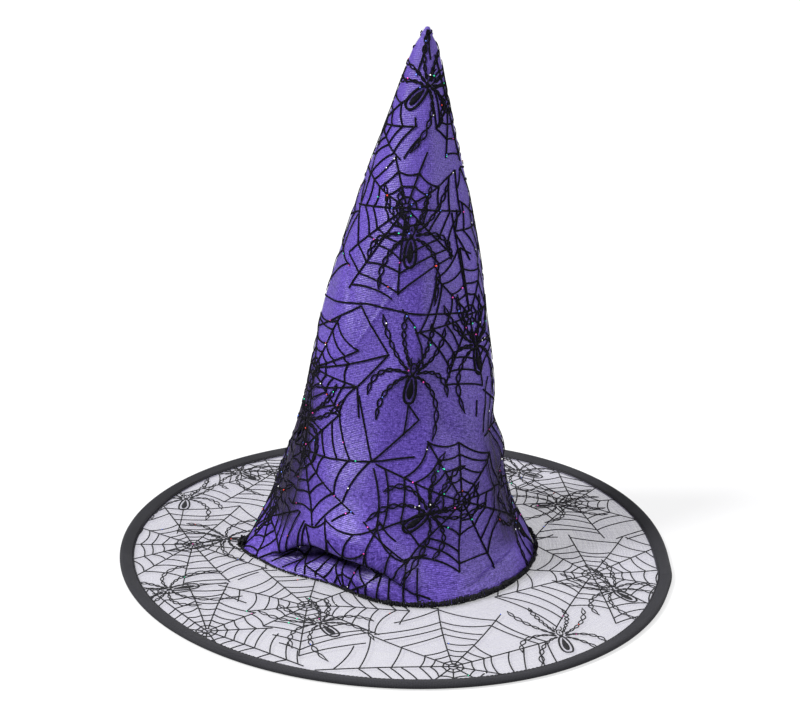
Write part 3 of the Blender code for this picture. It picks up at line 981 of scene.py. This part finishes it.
# A spider's four legs on one side: each leg's control points, out and up
SPIDER_LEGS = (
    ((0.0026, 0.0046), (0.006, 0.013), (0.012, 0.024), (0.010, 0.036)),
    ((0.0030, 0.0024), (0.011, 0.008), (0.020, 0.018), (0.022, 0.032)),
    ((0.0028, 0.0004), (0.013, 0.004), (0.027, -0.001), (0.029, -0.018)),
    ((0.0026, -0.0014), (0.011, -0.004), (0.023, -0.017), (0.019, -0.040)),
)


def loop_strands(path, loops, narrow, wide, strand):
    """Two strands that cross again and again, in loops that grow, to one point."""
    tangent = unit(np.gradient(path, axis=0))
    across = np.stack([-tangent[:, 1], tangent[:, 0]], axis=1)
    at = np.linspace(0.0, 1.0, len(path))
    phase = (loops + 0.02) * at ** 0.88
    swing = (narrow + (wide - narrow) * at) * np.sin(math.pi * phase)
    swing = swing * (1.0 - 0.75 * smooth_step(0.80, 1.0, at))
    width = strand * (1.0 - 0.40 * smooth_step(0.85, 1.0, at))
    return [(path + across * swing[:, None] * sign, width) for sign in (1, -1)]


FEELER = ((0.0012, 0.0068), (0.0034, 0.0080), (0.0022, 0.0112))
LOOP_SWING = (0.0005, 0.0019)  # half the width of a leg's first and last loops
BODY_HALF_WIDTH = 0.0036
BODY_HALF_LENGTH = 0.0092
BODY_MIDDLE = -0.0102
TAIL = -0.0184                 # where the spider's own thread leaves it


def spider_lines(rng, strand, thread):
    """A spider with its head up, the joint of head and body at the middle."""
    turn = np.linspace(0.0, 2 * math.pi, 44)
    sides = np.sign(np.cos(turn)) * np.abs(np.cos(turn)) ** 0.75
    squeeze = 1.0 - 0.20 * np.sin(turn)
    along = BODY_MIDDLE + BODY_HALF_LENGTH * np.sin(turn)
    body = np.stack([BODY_HALF_WIDTH * sides * squeeze, along], axis=1)
    lines = [(body, strand * 1.6)]
    drop = np.stack([np.zeros(18), np.linspace(-0.0030, -0.0166, 18)], axis=1)
    fill = BODY_HALF_WIDTH * np.sin(math.pi * np.linspace(0.03, 0.97, 18) ** 1.5) ** 0.7 + 0.0005
    lines.append((drop, fill))
    lines.append((np.array([(0.0, 0.0014), (0.0, 0.0002), (0.0, -0.0012)]), 0.0026))
    head = np.stack([0.0019 * np.cos(turn), 0.0038 + 0.0034 * np.sin(turn)], axis=1)
    lines.append((head, strand))
    lines.append((np.array([(0.0, 0.0050), (0.0, 0.0030)]), strand * 0.8))
    for side in (-1, 1):
        feeler = bezier(*(np.array(FEELER) * (side, 1.0)), count=9)
        lines.append((feeler, strand * 0.8))
        for index, leg in enumerate(SPIDER_LEGS):
            reach = rng.uniform(0.88, 1.10)
            controls = np.array(leg) * (side * reach, reach)
            controls[2:] += rng.uniform(-0.0025, 0.0025, (2, 2))
            path = bezier(*controls, count=60)
            loops = 7 if index in (0, 3) else 6
            lines += loop_strands(path, loops, *LOOP_SWING, strand)
    if thread:
        end = TAIL - thread
        lines.append((bezier((0, TAIL), (0.0008, (end + TAIL) / 2), (0, end)), strand))
    return lines


def turned(lines, heading):
    """Lines whose up direction now points to heading, in degrees from +X."""
    angle = math.radians(heading - 90.0)
    turn = np.array([[math.cos(angle), math.sin(angle)], [-math.sin(angle), math.cos(angle)]])
    return [(points @ turn, width) for points, width in lines]


def crown_place(lines, azimuth, height):
    """Lines in metres of cloth about a place, as azimuths and heights."""
    placed = []
    for points, width in lines:
        rise = height + points[:, 1] * SLANT
        radius = np.maximum(crown_profile(np.clip(rise, 0.0, CROWN_HEIGHT)), 0.004)
        placed.append((np.stack([azimuth + np.degrees(points[:, 0] / radius), rise], axis=1), width))
    return placed


def brim_place(lines, x, y):
    """Lines about a place of the brim, in metres."""
    return [(points + (x, y), width) for points, width in lines]


def resampled(points, width, scale):
    """The line again at even steps. scale turns its two parameters to metres."""
    metres = points * scale
    length = np.concatenate([[0.0], np.cumsum(np.hypot(*np.diff(metres, axis=0).T))])
    if length[-1] < LINE_STEP:
        return None
    count = max(3, int(math.ceil(length[-1] / LINE_STEP)) + 1)
    at = np.linspace(0.0, length[-1], count)
    fine = np.stack([np.interp(at, length, values) for values in points.T], axis=1)
    return fine, np.interp(at, length, np.broadcast_to(width, len(points)))


def kept_runs(fine, width, keep):
    """Parts of a line, three points or more, where keep holds."""
    edges = np.flatnonzero(np.diff(np.concatenate([[0], keep.astype(int), [0]])))
    return [(fine[start:stop], width[start:stop])
            for start, stop in zip(edges[::2], edges[1::2]) if stop - start > 2]


def cut_lines(lines, cloth, centres=None, own=None):
    """Lines cut to the cloth, and for a web to its own neighbourhood."""
    cut = []
    for points, width in lines:
        even = resampled(points, width, cloth.scale(points))
        if even is None:
            continue
        fine, widths = even
        keep = cloth.inside(fine[:, 0], fine[:, 1])
        if centres is not None:
            place = cloth.surface(fine[:, 0], fine[:, 1])
            away = np.linalg.norm(place[:, None] - centres[None], axis=2)
            nearest_other = np.delete(away, own, axis=1).min(axis=1)
            keep = keep & (away[:, own] < nearest_other + CELL_OVERLAP)
        cut += kept_runs(fine, widths, keep)
    return cut


# Webs of the crown: the middle, then where each thread ends, as (azimuth, mm up)
CROWN_WEBS = (
    ((-97, 244), ((-10, 236), (-30, 264), (-76, 277), (-124, 276), (-170, 262), (-182, 238),
                  (-154, 209), (-143, 185), (-97, 186), (-48, 213))),
    ((-36, 175), ((-42, 239), (-66, 201), (-83, 169), (-60, 134), (-30, 128),
                  (-8, 150), (6, 178), (-8, 208))),
    ((-152, 82), ((-104, 87), (-130, 111), (-154, 118), (-176, 112), (-192, 80), (-176, 52),
                  (-152, 44), (-128, 31), (-104, 51))),
    ((-56, 62), ((-104, 87), (-73, 101), (-53, 97), (-30, 84), (-12, 60), (-20, 38),
                 (-40, 12), (-60, 18), (-84, 26), (-98, 46))),
    ((-22, 304), ((-84, 318), (-60, 290), (-44, 272), (-10, 268), (30, 280), (60, 306),
                  (0, 330), (-50, 334))),
    ((-160, 134), ((-100, 154), (-122, 154), (-140, 174), (-176, 166), (-196, 140), (-180, 108),
                   (-153, 104), (-129, 111), (-120, 131))),
)
# Webs of the crown that are drawn by chance round the rest of it
CROWN_BACK_WEBS = (
    (14, 96), (38, 30), (54, 142), (92, 84), (132, 40), (122, 146), (168, 92), (18, 226),
    (78, 214), (144, 222), (96, 290), (178, 290), (-112, -2), (188, 24),
)
# Single threads of the crown, end to end
CROWN_THREADS = (
    ((-125, 182), (-100, 154), (-120, 131), (-153, 123)),
    ((-125, 182), (-150, 168), (-172, 158)),
    ((-120, 131), (-116, 112)),
    ((-104, 87), (-78, 114), (-85, 124)),
    ((-104, 87), (-118, 126)),
    ((-104, 87), (-80, 91)),
    ((-104, 51), (-85, 29), (-74, 30)),
    ((-90, 35), (-98, 14)),
    ((-108, 43), (-116, 26)),
    ((-84, 14), (-74, 6)),
    ((-93, 183), (-84, 174), (-78, 160), (-76, 146)),
    ((-180, 177), (-120, 184), (-78, 180), (-36, 177)),
    ((-44, 239), (-36, 177)),
    ((-70, 331), (-76, 340), (-70, 348)),
    ((-112, 322), (-96, 336), (-92, 348)),
)
# Spiders of the crown: azimuth, mm up, heading, thread in mm
CROWN_SPIDERS = (
    (-78, 316, 48, 0), (-90, 227, 90, 0), (-33, 155, 92, 0), (-83, 143, 84, 22),
    (-73, 56, 34, 0), (-158, 100, 70, 0), (-8, 28, 120, 0),
    (44, 122, 85, 20), (100, 60, 100, 0), (108, 172, 80, 20), (40, 212, 90, 0),
    (160, 130, 95, 0), (112, 262, 90, 0), (176, 40, 60, 0),
)
# Webs of the brim, in mm
BRIM_WEBS = (
    (-136.7, -9.5), (-53.7, -92.5), (130.3, -37.5), (128.3, 78.5), (36.3, -162.5), (-93, 118),
    (-112, -128), (64, 140), (-14, 158),
)
# Spiders of the brim: x and y in mm, heading, thread in mm
BRIM_SPIDERS = (
    (-115, 1, 178, 0), (-44, -115, 124, 0), (142, -58, 130, 0), (116, 73, 12, 0),
    (-118, 116, 140, 0), (-152, 66, 92, 40), (-143, -76, 200, 0), (103, -122, 100, 0),
    (92, 134, 150, 0), (10, 142, 80, 0),
)


PRINT_HEIGHTS = (0.0026, CROWN_HEIGHT - 0.0016)


def crown_inside(azimuth, height):
    return (height > PRINT_HEIGHTS[0]) & (height < PRINT_HEIGHTS[1])


def crown_scale(points):
    middle = points[:, 1].mean()
    radius = max(0.006, float(crown_profile(np.clip(middle, 0.0, CROWN_HEIGHT))))
    return np.array([math.radians(1.0) * radius, 1.0 / SLANT])


def brim_inside(x, y):
    _, from_edge, from_foot = brim_margins(x, y)
    return (from_edge > TAPE_WIDTH - 0.001) & (from_foot > 0.0004)


CROWN_CLOTH = Cloth(crown_surface, (0.3, 0.0005), crown_inside, crown_scale)
BRIM_CLOTH = Cloth(brim_surface, (0.0005, 0.0005), brim_inside, lambda points: 1.0)
CROWN_PRINT_SEED = 5
BRIM_PRINT_SEED = 8


def crown_print():
    """The crown's webs, single threads and spiders, as azimuths and heights."""
    rng = np.random.default_rng(CROWN_PRINT_SEED)
    middles = np.array([web[0] for web in CROWN_WEBS] + list(CROWN_BACK_WEBS), float)
    middles[:, 1] /= 1000.0
    centres = crown_surface(middles[:, 0], middles[:, 1])
    lines = []
    for index, (azimuth, height) in enumerate(middles):
        if index < len(CROWN_WEBS):
            ends = np.array(CROWN_WEBS[index][1], float)
            ends[:, 1] /= 1000.0
            dx = np.radians(ends[:, 0] - azimuth) * crown_profile(ends[:, 1])
            dy = (ends[:, 1] - height) / SLANT
            spokes = list(zip(np.arctan2(dy, dx) % (2 * math.pi), np.hypot(dx, dy)))
        else:
            spokes = random_spokes(rng, CROWN_REACH)
        web = crown_place(web_lines(rng, spokes, CROWN_RING_GAP, CROWN_LINE), azimuth, height)
        lines += cut_lines(web, CROWN_CLOTH, centres, index)
    singles = [(np.array(thread, float) * (1.0, 0.001), CROWN_LINE) for thread in CROWN_THREADS]
    for azimuth, height, heading, thread in CROWN_SPIDERS:
        spider = turned(spider_lines(rng, CROWN_STRAND, thread / 1000.0), heading)
        singles += crown_place(spider, azimuth, height / 1000.0)
    return lines + cut_lines(singles, CROWN_CLOTH)


def brim_print():
    """The brim's webs and spiders, in metres."""
    rng = np.random.default_rng(BRIM_PRINT_SEED)
    middles = np.array(BRIM_WEBS) / 1000.0
    centres = brim_surface(middles[:, 0], middles[:, 1])
    lines = []
    for index, (x, y) in enumerate(middles):
        web = web_lines(rng, random_spokes(rng, BRIM_REACH), BRIM_RING_GAP, BRIM_LINE)
        lines += cut_lines(brim_place(web, x, y), BRIM_CLOTH, centres, index)
    singles = []
    for x, y, heading, thread in BRIM_SPIDERS:
        spider = turned(spider_lines(rng, BRIM_STRAND, thread / 1000.0), heading)
        singles += brim_place(spider, x / 1000.0, y / 1000.0)
    return lines + cut_lines(singles, BRIM_CLOTH)


crown_lines = crown_print()
crown_flock = ribbon_mesh("crown_flock_print", crown_lines, CROWN_CLOTH, FLOCK_THICKNESS, crown_flock_black)
brim_lines = brim_print()
brim_flock = ribbon_mesh("brim_flock_print", brim_lines, BRIM_CLOTH, FLOCK_THICKNESS, brim_flock_black)


# ---------------------------------------------------------------- glitter

GLITTER = (
    ("green", (0.05, 0.85, 0.45)), ("magenta", (0.95, 0.10, 0.55)), ("red", (0.95, 0.08, 0.05)),
    ("blue", (0.15, 0.25, 0.95)), ("white", (0.95, 0.95, 0.95)),
)
FLAKE_RADIUS = 0.00045
FLAKE_SIDES = 6
FLAKE_LIFT = 0.00008           # above the flock
FLAKE_THICKNESS = 0.00012
CROWN_FLAKES = 56              # of each colour
BRIM_FLAKES = 7
GLITTER_SEED = 33


def flake_mesh(name, lines, cloth, count, rng, material):
    """Six-sided flakes stuck on the printed lines, each tipped a little."""
    index = np.arange(FLAKE_SIDES)
    turn = index * 2 * math.pi / FLAKE_SIDES
    after = (index + 1) % FLAKE_SIDES
    low = np.full(FLAKE_SIDES, 2 * FLAKE_SIDES)
    high = low + 1
    points, faces = [], []
    every_point = np.concatenate([line for line, _ in lines])
    for first, second in every_point[rng.integers(len(every_point), size=count)]:
        here = np.array([first]), np.array([second])
        place = cloth.surface(*here)[0]
        normal = cloth_normals(cloth, *here)[0]
        tipped = normal + rng.uniform(-0.25, 0.25, 3)
        tipped /= np.linalg.norm(tipped)
        side = np.cross(tipped, (0.0, 0.0, 1.0))
        if np.linalg.norm(side) < 0.05:
            side = np.cross(tipped, (1.0, 0.0, 0.0))
        side /= np.linalg.norm(side)
        up = np.cross(tipped, side)
        radius = FLAKE_RADIUS * rng.uniform(0.8, 1.25)
        ring = radius * (side * np.cos(turn)[:, None] + up * np.sin(turn)[:, None])
        base = place + normal * (FLOCK_THICKNESS + FLAKE_LIFT) + ring
        top = base + tipped * FLAKE_THICKNESS
        used = len(points) * (2 * FLAKE_SIDES + 2)
        points.append(np.concatenate([base, top, [base.mean(axis=0)], [top.mean(axis=0)]]))
        faces += [used + np.stack([index, after, after + FLAKE_SIDES], axis=1),
                  used + np.stack([index, after + FLAKE_SIDES, index + FLAKE_SIDES], axis=1),
                  used + np.stack([after, index, low], axis=1),
                  used + np.stack([index + FLAKE_SIDES, after + FLAKE_SIDES, high], axis=1)]
    return make_mesh(name, np.concatenate(points), np.concatenate(faces), material, smooth=False)


glitter_random = np.random.default_rng(GLITTER_SEED)
crown_glitter, brim_glitter = [], []
for colour_name, colour in GLITTER:
    foil = glitter_material("glitter_" + colour_name, colour)
    crown_glitter.append(flake_mesh("crown_glitter_" + colour_name, crown_lines, CROWN_CLOTH,
                                    CROWN_FLAKES, glitter_random, foil))
    brim_glitter.append(flake_mesh("brim_glitter_" + colour_name, brim_lines, BRIM_CLOTH,
                                   BRIM_FLAKES, glitter_random, foil))


# ---------------------------------------------------------------- seams

def foot_line(azimuth, out, height):
    """Points beside the crown's foot, out from the organza."""
    x, y = polar(foot_radius(azimuth) + out, azimuth)
    return stacked(FOOT_CENTRE[0] + x, FOOT_CENTRE[1] + y, height)


def seam_weight(azimuth):
    """How full the overlock is: thin under the fold, thick at the front right."""
    thin = 0.36 * bump(azimuth, -132.0, 30.0)
    return 0.62 - thin + 0.66 * bump(azimuth, -58.0, 36.0) + 0.2 * bump(azimuth, 15.0, 30.0)


# The overlock's threads: where each starts in its turn, and its pitch
OVERLOCK_THREADS = ((0.0, 0.0017), (0.4, 0.0021), (0.8, 0.0027))
LOOSE_ENDS = 420


def overlock_lines():
    """Loops of thread over the raw edge, thicker at the front right, with loose
    ends of yarn in them."""
    rng = np.random.default_rng(12)
    lines = []
    for start, pitch in OVERLOCK_THREADS:
        turns = FOOT_LENGTH / pitch
        azimuth = np.linspace(0.0, 360.0, int(turns * 8) + 1)
        heavy = seam_weight(azimuth)
        phase = np.linspace(0.0, 1.0, len(azimuth)) * round(turns) * 2 * math.pi + start * 2 * math.pi
        rough = 1.0 + 0.25 * np.sin(np.radians(azimuth * 47)) * np.sin(np.radians(azimuth * 19))
        out = heavy * rough * (0.0009 + 0.0012 * np.cos(phase))
        height = PANEL_TOP + 0.0003 + heavy * rough * 0.0016 * (1.0 + np.sin(phase))
        lines.append(foot_line(azimuth, out, height))
    for azimuth in rng.uniform(0.0, 360.0, LOOSE_ENDS):
        heavy = float(seam_weight(azimuth))
        span = rng.uniform(1.0, 3.2)
        along = azimuth + np.linspace(0.0, span, 5)
        out = rng.uniform(0.0, 0.0022) * heavy + np.linspace(0, rng.uniform(-0.0005, 0.0012), 5)
        height = PANEL_TOP + 0.0004 + rng.uniform(0.0, 0.0036) * heavy
        height = height + np.linspace(0.0, rng.uniform(-0.0004, 0.0010), 5)
        lines.append(foot_line(along, out, np.maximum(height, PANEL_TOP + 0.0003)))
    return lines


def tangle_line(rng, azimuth, height, size, bends):
    """A knot of yarn at the foot: one yarn that wanders about a small middle."""
    middle = foot_line(np.array([azimuth]), 0.0004, PANEL_TOP + height)[0]
    stops = rng.normal(size=(bends, 3))
    stops *= (rng.uniform(0.35, 1.0, bends) / np.linalg.norm(stops, axis=1))[:, None]
    at = np.linspace(0.0, bends - 1.0, bends * 8)
    kernel = np.hanning(13) / np.hanning(13).sum()
    wander = [np.interp(at, np.arange(bends), values) for values in stops.T]
    smooth = np.stack([np.convolve(values, kernel, mode="valid") for values in wander], axis=1)
    return middle + smooth * np.array(size)


# Knots of yarn at the foot: azimuth, height, half sizes, bends
KNOTS = (
    (-173.0, 0.0034, (0.0050, 0.0062, 0.0042), 64), (-176.0, 0.0030, (0.0036, 0.0050, 0.0034), 34),
    (-38.0, 0.0026, (0.0060, 0.0026, 0.0026), 30), (-4.0, 0.0044, (0.0026, 0.0072, 0.0042), 34),
)
OVERLOCK_YARN = 0.00034        # radii of the threads
KNOT_YARN = 0.00042
LOCKSTITCH_YARN = 0.00018
ALLOWANCE_YARN = 0.00024

knot_random = np.random.default_rng(4)
knots = [tangle_line(knot_random, *knot) for knot in KNOTS]
foot_overlock = tube_mesh("foot_overlock_thread", overlock_lines(), OVERLOCK_YARN, black_thread)
foot_knots = tube_mesh("foot_thread_knots", knots, KNOT_YARN, black_thread)


def inner_ring_lines(inset, height, pitch, swing):
    """A line of stitches round the inside of the foot."""
    turns = round(FOOT_LENGTH / pitch)
    azimuth = np.linspace(0.0, 360.0, turns * 8 + 1)
    phase = np.linspace(0.0, turns * 2 * math.pi, len(azimuth))
    return [crown_surface(azimuth, height + swing * np.sin(phase), -inset + swing * 0.4 * np.cos(phase))]


LOCKSTITCH_HEIGHT = 0.005
lockstitch_lines = inner_ring_lines(COLLAR_INSET + 0.0009, LOCKSTITCH_HEIGHT, 0.0032, 0.00025)
foot_lockstitch = tube_mesh("foot_lockstitch_thread", lockstitch_lines, LOCKSTITCH_YARN, black_thread)
allowance_lines = inner_ring_lines(COLLAR_INSET + 0.0007, COLLAR_HEIGHT + 0.0012, 0.0018, 0.0011)
allowance_overlock = tube_mesh("allowance_overlock_thread", allowance_lines, ALLOWANCE_YARN, black_thread)

SEAM_ALLOWANCE = 0.006
SEAM_THICKNESS = 0.0006
SEAM_TOP = 0.338
SEAM_STITCH_PITCH = 0.0030
SEAM_STITCH_LIFT = np.array([-0.0002, 0.0001, 0.0002, 0.0001, -0.0002])


def seam_strip_mesh():
    """The back seam's allowance, a narrow double strip inside the crown."""
    heights = np.linspace(COLLAR_HEIGHT + 0.004, SEAM_TOP, 260)
    width = SEAM_ALLOWANCE * smooth_step(SEAM_TOP + 0.004, SEAM_TOP - 0.030, heights)
    share = np.linspace(-1.0, 1.0, 9)
    radius = np.maximum(crown_profile(heights), 0.003)
    azimuth = SEAM_AZIMUTH + np.degrees(share[None, :] * width[:, None] / 2 / radius[:, None])
    curl = 0.0006 * share[None, :] ** 2 * (1 + 0.6 * np.sin(heights * 260))[:, None]
    points = crown_surface(azimuth, heights[:, None], -(SATIN_THICKNESS + 0.0006 + curl), veil=False)
    faces, row, column = grid_faces(len(heights), len(share), closed=False)
    uv = grid_uv(row, column, (share + 1) * SEAM_ALLOWANCE / 2, heights / SLANT)
    return make_mesh("back_seam_allowance", points.reshape(-1, 3), faces, satin_inside, uv)


back_seam = seam_strip_mesh()
thicken(back_seam, SEAM_THICKNESS)


def seam_stitch_lines():
    """Chain stitches down the drawn-in back seam."""
    along = np.linspace(0.0, 0.8 * SEAM_STITCH_PITCH, len(SEAM_STITCH_LIFT))
    return [crown_surface(SEAM_AZIMUTH, height + along, SEAM_STITCH_LIFT)
            for height in np.arange(0.006, SEAM_TOP, SEAM_STITCH_PITCH)]


back_stitch = tube_mesh("back_seam_stitches", seam_stitch_lines(), LOCKSTITCH_YARN, black_thread)


# ---------------------------------------------------------------- CAD pieces that stay

for node, finish in (("brim_hoop", steel), ("hoop_ferrule", zinc)):
    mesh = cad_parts[node].data
    mesh.materials.clear()
    mesh.materials.append(finish)


# ---------------------------------------------------------------- declarations

for piece in (crown_lining, crown_overlay, crown_flock, back_seam, back_stitch, *crown_glitter):
    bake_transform(piece)
for piece in (brim_sheer_panel, brim_flock, brim_tape, brim_topstitch, foot_overlock, foot_knots,
              foot_lockstitch, allowance_overlock, *brim_glitter):
    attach(piece, "hat_base")

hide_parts("crown_lining_lower", "crown_lining_bend", "crown_lining_tip")
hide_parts("crown_overlay_lower", "crown_overlay_bend", "crown_overlay_tip")
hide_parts("back_seam_lower", "back_seam_bend", "back_seam_tip")
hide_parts("brim_panel")
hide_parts("brim_binding")
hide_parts("binding_topstitch")
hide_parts("foot_overlock")
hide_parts("foot_lockstitch")
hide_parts("allowance_overlock")


# ---------------------------------------------------------------- stage

FLOOR_SIZE = 90.0
FLOOR_HEIGHT = -0.0005


def floor_mesh():
    half = FLOOR_SIZE / 2
    points = [(-half, -half, 0.0), (half, -half, 0.0), (half, half, 0.0), (-half, half, 0.0)]
    return make_mesh("studio_floor", points, np.array([[0, 1, 2, 3]]), floor_material("studio_floor"))


floor = floor_mesh()
floor.location.z = FLOOR_HEIGHT


def soft_sun(name, direction, strength, spread):
    """Even light from afar. spread is the angle that its source fills."""
    data = bpy.data.lights.new(name, "SUN")
    data.energy = strength
    data.angle = math.radians(spread)
    light = bpy.data.objects.new(name, data)
    bpy.context.scene.collection.objects.link(light)
    light.rotation_euler = Vector(direction).to_track_quat("Z", "Y").to_euler()


# Each light's direction, strength and spread in degrees
soft_sun("top_light", (-0.25, 0.15, 1.0), 1.0, 40.0)
soft_sun("key_light", (-1.0, -0.40, 1.05), 3.7, 14.0)
soft_sun("fill_light", (1.0, -0.20, 0.45), 1.6, 60.0)

# The world is white to the camera, and this strong as a light
WORLD_LIGHT = 0.27
world = bpy.data.worlds.new("studio_world")
world.use_nodes = True
backdrop = world.node_tree.nodes["Background"]
backdrop.inputs["Color"].default_value = (1.0, 1.0, 1.0, 1.0)
world_path = world.node_tree.nodes.new("ShaderNodeLightPath")
white_wall = world.node_tree.nodes.new("ShaderNodeMapRange")
white_wall.inputs["To Min"].default_value = WORLD_LIGHT
world.node_tree.links.new(world_path.outputs["Is Camera Ray"], white_wall.inputs["Value"])
world.node_tree.links.new(white_wall.outputs[0], backdrop.inputs["Strength"])
bpy.context.scene.world = world
bpy.context.scene.view_settings.view_transform = "Standard"


def camera_matrix():
    """The camera stands south of the hat, above it, and is rolled a little."""
    back = Vector((0.0, -math.cos(CAMERA_ELEVATION), math.sin(CAMERA_ELEVATION)))
    place = CAMERA_CENTRE + CAMERA_DISTANCE * back
    forward = (CAMERA_TARGET - place).normalized()
    level = forward.cross(Vector((0.0, 0.0, 1.0))).normalized()
    upright = level.cross(forward)
    right = level * math.cos(CAMERA_ROLL) + upright * math.sin(CAMERA_ROLL)
    up = upright * math.cos(CAMERA_ROLL) - level * math.sin(CAMERA_ROLL)
    matrix = Matrix((right, up, -forward)).transposed().to_4x4()
    matrix.translation = place
    return matrix


camera_data = bpy.data.cameras.new("camera")
camera_data.sensor_fit = "HORIZONTAL"
camera_data.sensor_width = 36.0
camera_data.lens = CAMERA_LENS
camera = bpy.data.objects.new("camera", camera_data)
bpy.context.scene.collection.objects.link(camera)
camera.matrix_world = camera_matrix()
bpy.context.scene.camera = camera
